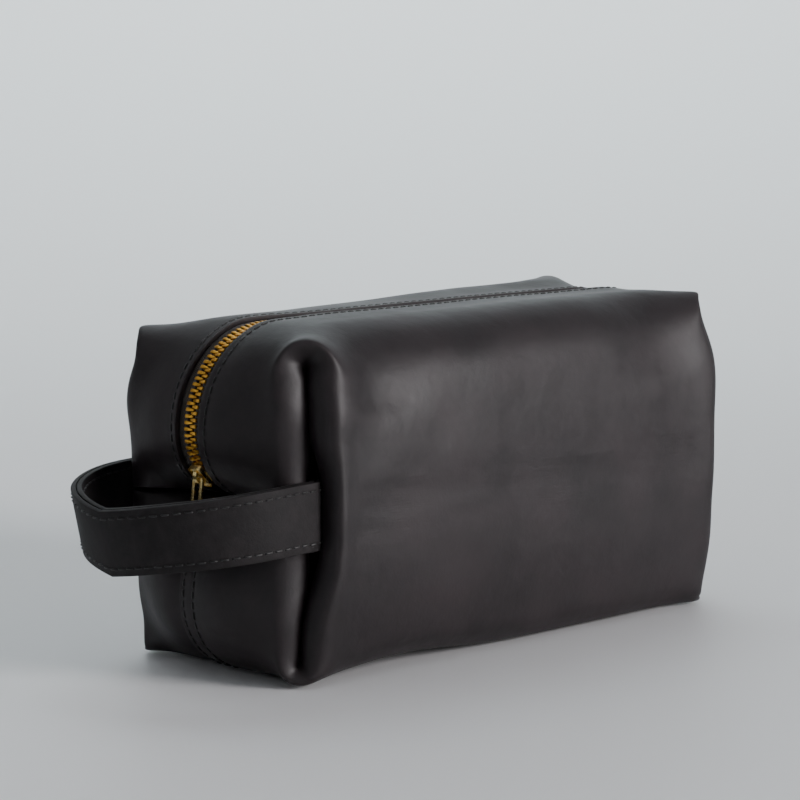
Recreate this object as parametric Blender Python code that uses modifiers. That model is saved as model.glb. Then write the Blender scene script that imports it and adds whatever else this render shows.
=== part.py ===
"""Leather shaving kit: a boxed zip-top pouch with a side handle.

Each long side of the bag is one piece of leather, cut like a capital I.  The middle is the
standing face, the upper bar is half of the top and the lower bar is half of the base.  Both
bars run on past the face and fold over the bag's ends, where a boxed seam at every upright
corner joins them to the face and a level seam joins the upper bar to the lower one.

The bag stands on z = 0, its length lies along X with the handle at -X, and its origin is the
middle of the base.  Lengths are in metres.
"""

import math

import bmesh
import bpy
from mathutils import Matrix, Vector

# ---------------------------------------------------------------- overall sizes
LENGTH = 0.229              # from corner seam to corner seam along the bag
DEPTH = 0.088               # from front corner to back corner
HEIGHT = 0.1315             # floor to the leather beside the zip
LEATHER = 0.002             # thickness of the bag's leather
CLEARANCE = 0.0003          # between pieces that touch

# ---------------------------------------------------------------- soft shape of the body
FACE_BULGE = 0.0115         # the faces swell this far at their middle
CORNER_BULGE = 0.0103       # and this far beside the upright corners
UPPER_END_BULGE = 0.006     # the ends swell above the level seam
LOWER_END_BULGE = 0.006     # and less below it
TOP_EDGE_RADIUS = 0.026     # long top edges at mid-length
TOP_CORNER_RADIUS = 0.020   # top edges where they reach the corners
BASE_EDGE_RADIUS = 0.014    # bottom edges
ROLL_RADIUS = 0.009         # leather rolling inward into an upright corner seam
BASE_ROLL_RADIUS = 0.006    # the same at the base, where the corner is pressed down
CORNER_SETBACK = 0.018      # the roll begins this far before the corner
ALLOWANCE = 0.006           # leather turned in past an upright corner seam
SEAM_HALF_GAP = 0.0002      # half the gap between the two rolls of a closed seam
STRAP_EASE = 0.0011         # room on each side of the strap where it leaves the seam
TOP_DENT = 0.005            # the long top edges sink beside each corner
DENT_SETBACK = 0.036        # middle of that dip, from the corner
DENT_WIDTH = 0.017
BASE_SPREAD = 0.003         # the bottom corners are pushed outward by the bag's weight

# ---------------------------------------------------------------- line of the zip over the ends
TRACK_RADIUS = 0.040        # round of the zip over an end
TRACK_SETBACK = 0.0256      # that round begins this far before the corner
TRACK_TUCK = math.radians(80)       # the zip curls back under by this much at the level seam
LOWER_RADIUS = 0.029        # round of the base up an end
LOWER_SETBACK = 0.0143
LOWER_TUCK = math.radians(58)
SEAM_TURN = 0.0012          # radius of the leather turning in at the level seam
TURN_IN = 0.008             # leather turned in past the level seam
RING_PITCH = 0.0066         # spacing of the leather's fold lines round a corner

# ---------------------------------------------------------------- zip
ZIP_OPENING = 0.0124        # between the two leather edges
TAPE_WIDTH = 0.032          # both tapes together
TAPE = 0.0008               # thickness of a tape
TAPE_STOP = 0.9             # the tapes end this far down the last part of the ends
TAPE_SAG = 0.0006           # the tape's edges hang this far clear of the leather
CHAIN_WIDTH = 0.0064
CHAIN_HEIGHT = 0.0024
TOOTH_PITCH = 0.00254
TOOTH_REACH = 0.0008        # a tooth passes the middle line by this much
SLIDER_LENGTH = 0.0095
LIP_GAP = 0.00035           # between the chain and the slider's side lips
SLIDER_PLATE = 0.0009
SLIDER_ABOVE_SEAM = 0.0165  # slider to level seam, along the zip
SLIDER_SLOT = 0.0022        # height of the slots that the tapes run through
FLANGE = 0.0007
NECK_WIDTH = 0.0013         # wedge between the plates that parts the teeth
NECK_LENGTH = 0.0022
BRIDGE_WIDTH = 0.0018
BRIDGE_LENGTH = 0.0064
BRIDGE_THICKNESS = 0.0009
EYE_HEIGHT = 0.0019         # room under the bridge
PULL_LENGTH = 0.024
PULL_WIDTH = 0.0056
PULL_THICKNESS = 0.0011
PULL_LEG = 0.0009
PULL_SLOT = 0.0105
PULL_LEAN = math.radians(8)         # the pull lies out over the lower half of the end
STOP_LENGTH = 0.0022
END_STOP_LENGTH = 0.004

# ---------------------------------------------------------------- bottom seam
LAP = 0.0045                # the front leather passes the middle line by this much
LAP_MARGIN = 0.003          # the back leather lies low this far past the lap
LAP_STEP = 0.0045           # and rises level with the front's over this width
BOTTOM_ROW = 0.0027         # each row of stitches, from the middle line

# ---------------------------------------------------------------- handle
STRAP_HEIGHT = 0.0254
STRAP_LAYER = 0.00205
STRAP_DROP = 0.00225        # middle of the strap below the level seam, at the corner seams
STRAP_GUARD = 0.003         # the corner seams stay open this far past the strap's edges
HANDLE_INSET = 0.0095       # the loop's middle line lies inside the faces by this much
STRAP_LEAD = 0.006          # straight run out of the seam
STRAP_REACH = 0.0115        # straight run before the round of the loop
HINGE_LEAD = 0.016          # seam to the place where the loop bends up and down
HANDLE_DROOP = 0.008        # the loop's end hangs this much lower than its roots
HANDLE_TWIST = math.radians(14)     # and its outer face turns down by this much

# ---------------------------------------------------------------- thread
THREAD = 0.0007
STITCH_INSET = 0.003        # stitches to the edge of the leather

SEAM_HEIGHT = HEIGHT / 2    # level seam across each end
STRAP_CENTRE = SEAM_HEIGHT - STRAP_DROP
HALF_LENGTH = LENGTH / 2
HALF_DEPTH = DEPTH / 2
STRAP_THICKNESS = 2 * STRAP_LAYER + CLEARANCE
SLIDER_WIDTH = CHAIN_WIDTH + 2 * (FLANGE + LIP_GAP)
TAPE_DEPTH = LEATHER + CLEARANCE + TAPE / 2     # middle of the tape below the leather's face
DIAGONAL = math.sqrt(0.5)
FACE_FULLNESS = 0.6         # under 1, a swell stays full nearly to its edges
END_FULLNESS = 0.7
DENT_PULL = 0.4             # share of a dent that also draws the face inward
SEAM_IN = 1 + DIAGONAL      # a roll ends on its seam this many radii inside the two faces
FOLD_BACK = 1.746           # control points, in radii, that make the limit surface a round roll
FOLD_SIDE = 1.235
FINE_STEP = 0.006           # spacing of the points along straps and threads
STRIP_STEP = 0.006          # last fold line of the top, past the tape
FOLDS = 4                   # fold lines between a face and the end of its allowance
FLAP_FOLDS = 9              # fold lines from there to the level seam
FLAP_KNEE = 6 / FLAP_FOLDS  # the sixth of them passes just beyond the strap
WALL_FOLDS = 4              # fold lines from a face's edge to its mid-height
WALL_KNEE = 3 / WALL_FOLDS  # the third of them passes just beyond the strap

bag = bpy.data.collections.new("shaving_kit_bag")
cutters = bpy.data.collections.new("cutters")


# ================================================================ small helpers
def clear_scene():
    """Remove whatever the file opened with."""
    for item in list(bpy.data.objects):
        bpy.data.objects.remove(item, do_unlink=True)
    bpy.context.scene.collection.children.link(bag)
    bpy.context.scene.collection.children.link(cutters)


def material(name, colour, roughness, metallic=0.0):
    """A plain Principled material."""
    made = bpy.data.materials.new(name)
    made.use_nodes = True
    shader = made.node_tree.nodes["Principled BSDF"]
    shader.inputs["Base Color"].default_value = (*colour, 1.0)
    shader.inputs["Roughness"].default_value = roughness
    shader.inputs["Metallic"].default_value = metallic
    return made


def add_object(name, mesh, colour, origin=(0, 0, 0)):
    """Put a mesh given in world coordinates into the bag, with its origin at a chosen point."""
    mesh.transform(Matrix.Translation(-Vector(origin)))
    mesh.materials.clear()
    mesh.materials.append(colour)
    made = bpy.data.objects.new(name, mesh)
    made.location = origin
    bag.objects.link(made)
    return made


def hump(t):
    """0 at both ends of 0..1 and 1 in the middle."""
    t = min(max(t, 0.0), 1.0)
    return 1 - (2 * t - 1) ** 2


def smooth(t):
    """Ease from 0 to 1."""
    t = min(max(t, 0.0), 1.0)
    return t * t * (3 - 2 * t)


def walk(start, heading, pieces, distance):
    """Point and heading after a distance along straight and round pieces (length, turn)."""
    point = Vector(start)
    for length, turn in pieces:
        step = min(distance, length)
        angle = turn * step / length
        chord = step if abs(angle) < 1e-9 else 2 * step / angle * math.sin(angle / 2)
        middle = heading + angle / 2
        point += chord * Vector((math.cos(middle), math.sin(middle)))
        heading += angle
        distance -= step
        if distance <= 0:
            break
    return point, heading


# ================================================================ shape of the body
def face_reach(x, z):
    """Distance of a standing face from the middle plane."""
    swell = CORNER_BULGE + (FACE_BULGE - CORNER_BULGE) * hump(0.5 + 0.5 * x / HALF_LENGTH)
    return HALF_DEPTH + swell * hump(z / HEIGHT) ** FACE_FULLNESS


def end_reach(z):
    """Distance of an end from the bag's middle, beside its upright seams."""
    if z > SEAM_HEIGHT:
        return HALF_LENGTH + UPPER_END_BULGE * hump((z - SEAM_HEIGHT) / (HEIGHT - SEAM_HEIGHT)) ** END_FULLNESS
    return HALF_LENGTH + LOWER_END_BULGE * hump(z / SEAM_HEIGHT) ** END_FULLNESS


def roll_radius(z):
    """Radius of the leather rolling into an upright seam."""
    return BASE_ROLL_RADIUS + (ROLL_RADIUS - BASE_ROLL_RADIUS) * smooth(z / (0.35 * HEIGHT))


def near_strap(z, fade):
    """1 at the strap's height, easing to 0 over a distance above and below it."""
    away = abs(z - STRAP_CENTRE) - STRAP_HEIGHT / 2 - STRAP_GUARD
    return 1 - smooth(away / fade)


def slit(z):
    """Half the gap of an upright seam, which opens where the strap passes."""
    opened = STRAP_THICKNESS / 2 + STRAP_EASE - SEAM_HALF_GAP
    return SEAM_HALF_GAP + opened * near_strap(z, 0.011)


def top_pieces():
    """Middle line of the leather from the top's centre over an end to the level seam."""
    drop = HEIGHT - TRACK_RADIUS - SEAM_HEIGHT - SEAM_TURN
    second = drop / math.sin(TRACK_TUCK)
    return [(HALF_LENGTH - TRACK_SETBACK, 0.0), (TRACK_RADIUS * math.pi / 2, -math.pi / 2),
            (second * TRACK_TUCK, -TRACK_TUCK)]


def base_pieces():
    """Middle line of the leather from the base's centre up an end to the level seam."""
    rise = SEAM_HEIGHT - LOWER_RADIUS - SEAM_TURN
    second = rise / math.sin(LOWER_TUCK)
    return [(HALF_LENGTH - LOWER_SETBACK, 0.0), (LOWER_RADIUS * math.pi / 2, math.pi / 2),
            (second * LOWER_TUCK, LOWER_TUCK)]


def run_length(pieces):
    """Length of a line of pieces."""
    return sum(length for length, turn in pieces)


def line_radius(pieces, distance):
    """Radius of the round of a line that a distance falls on, or of its nearest round."""
    reached = pieces[0][0] + pieces[1][0]
    length, turn = pieces[1] if distance < reached else pieces[2]
    return length / abs(turn)


def middle_line(upper, distance, depth=0.0):
    """Outward and upward position on the middle line, sunk by a depth into the bag."""
    if upper:
        point, heading = walk((0, HEIGHT), 0.0, top_pieces(), distance)
        inward = Vector((math.sin(heading), -math.cos(heading)))
    else:
        point, heading = walk((0, 0), 0.0, base_pieces(), distance)
        inward = Vector((-math.sin(heading), math.cos(heading)))
    return point + depth * inward, heading


def column_kinds():
    """Fold lines from the bag's middle out over an end, as (kind, place)."""
    run = [("run", step / 4) for step in range(4)]
    ring = [("ring", step) for step in range(FOLDS + 1)]
    flap = [("flap", step / FLAP_FOLDS) for step in range(1, FLAP_FOLDS + 1)]
    return run + ring + flap + [("turn", 1), ("turn", 2)]


def row_kinds(upper):
    """Fold lines from a bar's free edge to the middle of the face, as (kind, place)."""
    if upper:
        edges = [ZIP_OPENING / 2, TAPE_WIDTH / 2, TAPE_WIDTH / 2 + STRIP_STEP]
    else:
        edges = [-LAP, LAP / 2, LAP + LAP_MARGIN, LAP + LAP_MARGIN + LAP_STEP, HALF_DEPTH / 2]
    strip = [("strip", y) for y in edges]
    ring = [("ring", step) for step in range(FOLDS + 1)]
    wall = [("wall", step / WALL_FOLDS) for step in range(1, WALL_FOLDS + 1)]
    return strip + ring + wall


def edge_radius(x, upper):
    """Radius of a long edge at a place along the bag."""
    if not upper:
        return BASE_EDGE_RADIUS
    return TOP_EDGE_RADIUS - (TOP_EDGE_RADIUS - TOP_CORNER_RADIUS) * abs(x / HALF_LENGTH) ** 3


def seam_level(first, last, place, knee):
    """Height of a fold line that crosses the leather from one height to another.

    The line that reaches a share (the knee) of the way always runs just past the strap."""
    side = 1 if first > last else -1
    guard = STRAP_CENTRE + side * (STRAP_HEIGHT / 2 + STRAP_GUARD)
    if place <= knee:
        return first + (guard - first) * place / knee
    return guard + (last - guard) * (place - knee) / (1 - knee)


def level(upper, down):
    """Height at a distance from the top or, on the lower half, from the base."""
    return HEIGHT - down if upper else down


def section_point(x, row, upper):
    """A point of the long tube that the face makes with half of the top or of the base."""
    kind, place = row
    radius = edge_radius(x, upper)
    reach = face_reach(x, level(upper, radius))
    if kind == "strip":
        return Vector((x, place, level(upper, 0)))
    if kind == "ring":
        turn = place / FOLDS * math.pi / 2
        dent = TOP_DENT * math.exp(-((x - HALF_LENGTH + DENT_SETBACK) / DENT_WIDTH) ** 2)
        sink = dent * math.sin(turn) if upper else 0.0
        y = reach - radius + radius * math.sin(turn) - DENT_PULL * sink
        return Vector((x, y, level(upper, radius - radius * math.cos(turn)) - sink))
    z = seam_level(level(upper, radius), SEAM_HEIGHT, place, WALL_KNEE)
    return Vector((x, face_reach(x, z), z))


def end_edge_point(column, y, upper):
    """A point of an end flap along the line where it starts to roll into its upright seam."""
    kind, place = column
    radius = TOP_CORNER_RADIUS if upper else BASE_EDGE_RADIUS
    start = level(upper, radius)
    if kind == "ring":
        turn = place / FOLDS * math.pi / 2
        x = end_reach(start) - radius + radius * math.sin(turn)
        return Vector((x, y, level(upper, radius - radius * math.cos(turn))))
    side = 1 if upper else -1
    z = start + (SEAM_HEIGHT + side * SEAM_TURN - start) * place
    return Vector((end_reach(z), y, z))


def end_point(column, y, inner_y, outer_y, upper, depth):
    """A point of an end flap between its free edge and its roll."""
    kind, place = column
    if kind == "turn":
        lip = end_point(("flap", 1.0), y, inner_y, outer_y, upper, depth)
        inward = SEAM_TURN * 2 if place == 1 else TURN_IN
        side = 1 if upper else -1
        return Vector((lip.x - inward, y, SEAM_HEIGHT + side * (CLEARANCE + depth)))
    pieces = top_pieces() if upper else base_pieces()
    begin = HALF_LENGTH - CORNER_SETBACK
    pitch = RING_PITCH
    distance = begin + place * pitch
    if kind == "flap":
        begin += FOLDS * RING_PITCH
        pitch = (run_length(pieces) - begin) / FLAP_FOLDS
        distance = begin + (run_length(pieces) - begin) * place
    swell = pitch ** 2 / (6 * line_radius(pieces, distance))
    point, heading = middle_line(upper, distance, depth - swell)
    share = min(max((abs(y) - inner_y) / (outer_y - inner_y), 0.0), 1.0) ** 2
    middle = Vector((point.x, y, point.y))
    return middle.lerp(end_edge_point(column, y, upper), share)


def corner_values(z):
    """Reach of the end and of the face, and the roll's radius, at an upright corner."""
    held = near_strap(z, 0.025)
    along = held * end_reach(STRAP_CENTRE) + (1 - held) * end_reach(z)
    return along, face_reach(HALF_LENGTH - CORNER_SETBACK, z), roll_radius(z)


def roll_point(fold, z, on_face):
    """A point of the roll beside an upright seam at a height, on the face's or the flap's side."""
    along, across, radius = corner_values(z)
    gap = slit(z) * DIAGONAL
    if not on_face:
        along, across = across, along
    if fold == 1:
        x, y = along - FOLD_BACK * radius, across
    elif fold == 2:
        x, y = along - FOLD_SIDE * radius - gap, across - FOLD_SIDE * radius + gap
    else:
        inward = SEAM_IN * radius + (ALLOWANCE * DIAGONAL if fold == FOLDS else 0.0)
        x, y = along - inward - gap, across - inward + gap
    return Vector((x, y, z)) if on_face else Vector((y, x, z))


def leg_start(fold, upper):
    """Height at which a fold line leaves the ear and runs straight along its seam."""
    radius = ROLL_RADIUS if upper else BASE_ROLL_RADIUS
    extra = {1: 0.0, 2: 0.5, 3: 0.6, 4: 0.6}[fold]
    return level(upper, (FOLD_SIDE + extra) * radius)


def ear_point(fold, step, on_face, upper):
    """A point of the ear that arches over the end of an upright seam."""
    radius = ROLL_RADIUS if upper else BASE_ROLL_RADIUS
    heart_z = level(upper, FOLD_SIDE * radius)
    along, across = corner_values(heart_z)[:2]
    heart = Vector((along - SEAM_IN * radius, across - SEAM_IN * radius, heart_z))
    outward = Vector((DIAGONAL, DIAGONAL, 0))
    sideways = Vector((-DIAGONAL, DIAGONAL, 0)) if on_face else Vector((DIAGONAL, -DIAGONAL, 0))
    up = Vector((0, 0, 1 if upper else -1))
    spread = 0.0 if upper else BASE_SPREAD
    if fold == 1:
        turn = step / 3 * math.pi / 2
        arm = FOLD_SIDE * radius
        return (heart + (1.18 * radius + spread) * outward
                + arm * math.sin(turn) * sideways + arm * math.cos(turn) * up)
    if fold == 2 and step < 2:
        turn = step * math.radians(75)
        arm = 0.35 * radius
        return (heart + (0.668 * radius + spread) * outward
                + arm * math.sin(turn) * sideways + arm * math.cos(turn) * up)
    if fold == 3 and step == 0:
        return heart
    if fold == FOLDS:
        return heart - ALLOWANCE * outward - 0.6 * radius * up
    return roll_point(fold, leg_start(fold, upper), on_face)


def cage_point(column, row, upper, depth=0.0):
    """Where one crossing of the leather's fold lines lies, in the +X +Y quarter."""
    begin = HALF_LENGTH - CORNER_SETBACK
    column_kind, column_place = column
    row_kind, row_place = row
    if column_kind == "run" or column == ("ring", 0):
        x = begin * column_place if column_kind == "run" else begin
        point = section_point(x, row, upper)
        point.z += depth if not upper else -depth
        return point
    if row_kind == "strip" or row == ("ring", 0):
        radius = TOP_CORNER_RADIUS if upper else BASE_EDGE_RADIUS
        outer = face_reach(begin, level(upper, radius)) - radius
        inner = ZIP_OPENING / 2 if upper else LAP + LAP_MARGIN + LAP_STEP
        y = row_place if row_kind == "strip" else outer
        return end_point(column, y, inner, outer, upper, depth)
    if column_kind == "ring" and row_kind == "ring":
        fold = min(column_place, row_place)
        return ear_point(fold, abs(column_place - row_place), row_place > column_place, upper)
    fold = column_place if column_kind == "ring" else row_place
    place = row_place if column_kind == "ring" else column_place
    side = 1 if upper else -1
    first = leg_start(fold, upper)
    last = SEAM_HEIGHT
    if column_kind != "ring":
        last += side * CLEARANCE
    knee = WALL_KNEE if column_kind == "ring" else FLAP_KNEE
    return roll_point(fold, seam_level(first, last, place, knee), column_kind == "ring")


def in_pattern(column, row):
    """True where the I-shaped leather exists."""
    if column[0] in ("flap", "turn") and row[0] == "wall":
        return False
    return not (column[0] == "turn" and row[0] == "ring" and row[1] > 0)


def settle(mesh_data):
    """Move each crossing onto the smooth surface that the fold lines steer."""
    moved = {}
    for vertex in mesh_data.verts:
        around = [edge.other_vert(vertex) for edge in vertex.link_edges]
        if vertex.is_boundary:
            beside = [edge.other_vert(vertex) for edge in vertex.link_edges if edge.is_boundary]
            if len(around) == 2:
                moved[vertex] = vertex.co.copy()
            else:
                moved[vertex] = (4 * vertex.co + beside[0].co + beside[1].co) / 6
            continue
        count = len(around)
        across = Vector()
        for face in vertex.link_faces:
            for corner in face.verts:
                if corner != vertex and corner not in around:
                    across += corner.co
        total = count * count * vertex.co + 4 * sum((other.co for other in around), Vector()) + across
        moved[vertex] = total / (count * (count + 5))
    for vertex, place in moved.items():
        vertex.co = place


def leather_sheet(columns, rows, place, flip):
    """A grid of fold lines, without the corners that the pattern leaves out, bent into shape."""
    sheet = bmesh.new()
    bmesh.ops.create_grid(sheet, x_segments=len(columns) - 1, y_segments=len(rows) - 1, size=1)
    unused = []
    for vertex in sheet.verts:
        column = round((vertex.co.x + 1) / 2 * (len(columns) - 1))
        row = round((vertex.co.y + 1) / 2 * (len(rows) - 1))
        point = place(columns[column], rows[row])
        if point is None:
            unused.append(vertex)
        else:
            vertex.co = point
    bmesh.ops.delete(sheet, geom=unused, context="VERTS")
    settle(sheet)
    if flip:
        bmesh.ops.reverse_faces(sheet, faces=sheet.faces)
    return sheet


def both_halves(kinds):
    """Column kinds from the -X end to the +X end, each with its direction."""
    left = [(-1, kind) for kind in reversed(kinds[1:])]
    return left + [(1, kind) for kind in kinds]


def thicken(made, thickness, offset):
    """Give a sheet its thickness."""
    solid = made.modifiers.new("thickness", "SOLIDIFY")
    solid.thickness = thickness
    solid.offset = offset
    solid.use_even_offset = False
    return made


# ================================================================ leather body
def make_panel(name, side, colour):
    """One long side of the bag; side is -1 at the front and +1 at the back."""
    columns = both_halves(column_kinds())
    lower = [(False, kind) for kind in row_kinds(False)]
    upper = [(True, kind) for kind in row_kinds(True)]
    rows = lower + list(reversed(upper))[1:]

    def place(column, row):
        direction, column_kind = column
        is_upper, row_kind = row
        if not in_pattern(column_kind, row_kind):
            return None
        in_strip = side > 0 and not is_upper and row_kind[0] == "strip"
        lapped = in_strip and row_kind[1] < LAP + LAP_MARGIN + LAP_STEP / 2
        depth = LEATHER + 1.5 * CLEARANCE if lapped else 0.0
        point = cage_point(column_kind, row_kind, is_upper, depth)
        return Vector((direction * point.x, side * point.y, point.z))

    sheet = leather_sheet(columns, rows, place, side > 0)
    mesh = bpy.data.meshes.new(name)
    sheet.to_mesh(mesh)
    sheet.free()
    mesh.shade_smooth()
    return thicken(add_object(name, mesh, colour), LEATHER, -1)


# ================================================================ zip
def track_frame(distance, depth, direction=-1):
    """Frame on the zip's line: X along it toward the level seam, Y across, Z out of the bag."""
    point, heading = middle_line(True, distance, depth)
    along = Vector((direction * math.cos(heading), 0, math.sin(heading)))
    outward = Vector((-direction * math.sin(heading), 0, math.cos(heading)))
    across = outward.cross(along)
    frame = Matrix((along, across, outward)).transposed().to_4x4()
    frame.translation = Vector((direction * point.x, 0, point.y))
    return frame


def slider_distance():
    """Distance of the slider's middle from the middle of the top, along the zip."""
    return run_length(top_pieces()) - SLIDER_ABOVE_SEAM


def make_tape(name, side, colour):
    """The woven tape on one side, held under the leather's edge."""
    kinds = [kind for kind in column_kinds() if kind[0] != "turn"]
    columns = both_halves(kinds)
    rows = [CHAIN_WIDTH / 2 + CLEARANCE, ZIP_OPENING / 2, TAPE_WIDTH / 2]

    def place(column, row):
        direction, kind = column
        at_edge = kind == ("flap", 1.0) or row == TAPE_WIDTH / 2
        if kind == ("flap", 1.0):
            kind = ("flap", TAPE_STOP)
        depth = TAPE_DEPTH + (TAPE_SAG if at_edge else 0.0)
        if kind[0] == "run":
            point = Vector((kind[1] * (HALF_LENGTH - CORNER_SETBACK), row, HEIGHT - depth))
        else:
            radius = TOP_CORNER_RADIUS
            outer = face_reach(HALF_LENGTH - CORNER_SETBACK, HEIGHT - radius) - radius
            surface = end_point(kind, row, ZIP_OPENING / 2, outer, True, 0.0)
            line = end_point(kind, 0.0, ZIP_OPENING / 2, outer, True, 0.0)
            sunk = end_point(kind, 0.0, ZIP_OPENING / 2, outer, True, depth)
            point = surface + sunk - line
        return Vector((direction * point.x, side * point.y, point.z))

    sheet = leather_sheet(columns, rows, place, side < 0)
    mesh = bpy.data.meshes.new(name)
    sheet.to_mesh(mesh)
    sheet.free()
    return thicken(add_object(name, mesh, colour), TAPE, 0)


def make_teeth(name, side, colour):
    """A row of teeth on its bead cord, from inside the slider to the stop at the far end."""
    near = slider_distance() + SLIDER_LENGTH / 2 - NECK_LENGTH - 2 * CLEARANCE - TOOTH_PITCH / 2
    far = run_length(top_pieces()) - SLIDER_ABOVE_SEAM - END_STOP_LENGTH
    steps = int((near + far) / (TOOTH_PITCH / 2))
    row = bmesh.new()
    bmesh.ops.create_grid(row, x_segments=steps, y_segments=1, size=1)
    for vertex in row.verts:
        index = round((vertex.co.x + 1) / 2 * steps)
        distance = index * TOOTH_PITCH / 2 - near
        is_tip = (index % 2 == 0) == (side > 0)
        point, heading = middle_line(True, abs(distance), TAPE_DEPTH)
        inner = -TOOTH_REACH if is_tip else TOOTH_REACH + CLEARANCE
        y = CHAIN_WIDTH / 2 if vertex.co.y > 0 else inner
        vertex.co = Vector((math.copysign(point.x, distance), side * y, point.y))
    if side < 0:
        bmesh.ops.reverse_faces(row, faces=row.faces)
    mesh = bpy.data.meshes.new(name)
    row.to_mesh(mesh)
    row.free()
    return thicken(add_object(name, mesh, colour), CHAIN_HEIGHT, 0)


def block(size, centre):
    """A box mesh of a size, centred on a point."""
    shape = bmesh.new()
    bmesh.ops.create_cube(shape, size=1)
    bmesh.ops.scale(shape, vec=size, verts=shape.verts)
    bmesh.ops.translate(shape, vec=centre, verts=shape.verts)
    mesh = bpy.data.meshes.new("block")
    shape.to_mesh(mesh)
    shape.free()
    return mesh


def joined(name, shapes, frame, colour, origin):
    """One solid made of overlapping shapes given in a frame's own axes."""
    body = add_object(name, shapes[0], colour)
    for shape in shapes[1:]:
        tool = bpy.data.objects.new("cutter", shape)
        cutters.objects.link(tool)
        tool.hide_render = True
        tool.display_type = "WIRE"
        union = body.modifiers.new("join", "BOOLEAN")
        union.operation = "UNION"
        union.object = tool
    bpy.context.view_layer.update()
    graph = bpy.context.evaluated_depsgraph_get()
    mesh = bpy.data.meshes.new_from_object(body.evaluated_get(graph))
    body.modifiers.clear()
    for tool in list(cutters.objects):
        bpy.data.objects.remove(tool, do_unlink=True)
    mesh.transform(frame)
    bpy.data.objects.remove(body, do_unlink=True)
    return add_object(name, mesh, colour, origin)


def slider_axis():
    """Centre of the lower round that the slider follows at the handle's end."""
    pieces = top_pieces()
    widest = walk((0, HEIGHT), 0.0, pieces, pieces[0][0] + pieces[1][0])[0]
    return Vector((line_radius(pieces, run_length(pieces)) - widest.x, 0, widest.y))


def plate_gap():
    """Half the room between the slider's plates."""
    return CHAIN_HEIGHT / 2 + 2 * CLEARANCE


def make_slider(colour):
    """Slider: two plates with side lips, the neck between them and the bridge on top."""
    gap = plate_gap()
    plate_z = gap + SLIDER_PLATE / 2
    lip_height = gap - SLIDER_SLOT / 2
    bite = 0.0002
    shapes = [block((SLIDER_LENGTH, SLIDER_WIDTH, SLIDER_PLATE), (0, 0, plate_z)),
              block((SLIDER_LENGTH, SLIDER_WIDTH, SLIDER_PLATE), (0, 0, -plate_z))]
    neck_x = (SLIDER_LENGTH - NECK_LENGTH) / 2
    shapes.append(block((NECK_LENGTH, NECK_WIDTH, 2 * gap + SLIDER_PLATE), (neck_x, 0, 0)))
    for across in (-1, 1):
        for level_side in (-1, 1):
            centre = (0, across * (SLIDER_WIDTH - FLANGE) / 2,
                      level_side * (gap + bite - (lip_height + bite) / 2))
            shapes.append(block((SLIDER_LENGTH - bite, FLANGE - bite, lip_height + bite), centre))
    top = gap + SLIDER_PLATE
    for end in (-1, 1):
        post_x = end * (BRIDGE_LENGTH - BRIDGE_THICKNESS) / 2
        shapes.append(block((BRIDGE_THICKNESS, BRIDGE_WIDTH, EYE_HEIGHT + 2 * bite),
                            (post_x, 0, top + EYE_HEIGHT / 2)))
    shapes.append(block((BRIDGE_LENGTH - bite, BRIDGE_WIDTH - bite, BRIDGE_THICKNESS),
                        (0, 0, top + EYE_HEIGHT + BRIDGE_THICKNESS / 2)))
    frame = track_frame(slider_distance(), TAPE_DEPTH)
    return joined("zip_slider", shapes, frame, colour, slider_axis())


def pull_pivot():
    """Middle of the pull's top bar, under the slider's bridge."""
    height = plate_gap() + SLIDER_PLATE + EYE_HEIGHT / 2
    return track_frame(slider_distance(), TAPE_DEPTH) @ Vector((0, 0, height))


def rounded_outline(curve, width, top, bottom, radius):
    """Add a closed outline with round corners to a flat curve."""
    corners = [(-width / 2, bottom), (width / 2, bottom), (width / 2, top), (-width / 2, top)]
    points = []
    for index, (x, y) in enumerate(corners):
        centre = Vector((x - math.copysign(radius, x), y + (radius if y == bottom else -radius)))
        for step in range(4):
            angle = -math.pi + index * math.pi / 2 + step * math.pi / 6
            points.append(centre + radius * Vector((math.cos(angle), math.sin(angle))))
    spline = curve.splines.new("POLY")
    spline.points.add(len(points) - 1)
    for point, place in zip(spline.points, points):
        point.co = (place.x, place.y, 0, 1)
    spline.use_cyclic_u = True


def curve_mesh(curve, matrix=None):
    """Mesh of a curve, with its ends closed."""
    carrier = bpy.data.objects.new("carrier", curve)
    cutters.objects.link(carrier)
    bpy.context.view_layer.update()
    graph = bpy.context.evaluated_depsgraph_get()
    mesh = bpy.data.meshes.new_from_object(carrier.evaluated_get(graph))
    bpy.data.objects.remove(carrier, do_unlink=True)
    shape = bmesh.new()
    shape.from_mesh(mesh)
    bmesh.ops.remove_doubles(shape, verts=shape.verts, dist=1e-6)
    shape.to_mesh(mesh)
    shape.free()
    if matrix:
        mesh.transform(matrix)
    return mesh


def make_pull(colour):
    """Pull: a flat tab with two legs and a bar that hangs in the slider's eye."""
    curve = bpy.data.curves.new("pull", "CURVE")
    curve.dimensions = "2D"
    curve.fill_mode = "BOTH"
    curve.extrude = PULL_THICKNESS / 2
    top = PULL_LEG / 2
    rounded_outline(curve, PULL_WIDTH, top, top - PULL_LENGTH, 0.0012)
    rounded_outline(curve, PULL_WIDTH - 2 * PULL_LEG, top - PULL_LEG, top - PULL_SLOT, 0.0006)
    pivot = pull_pivot()
    upright = Matrix(((0, 0, 1, 0), (1, 0, 0, 0), (0, 1, 0, 0), (0, 0, 0, 1)))
    lean = Matrix.Rotation(PULL_LEAN, 4, "Y")
    mesh = curve_mesh(curve, Matrix.Translation(pivot) @ lean @ upright)
    return add_object("zip_pull", mesh, colour, pivot)


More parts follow.
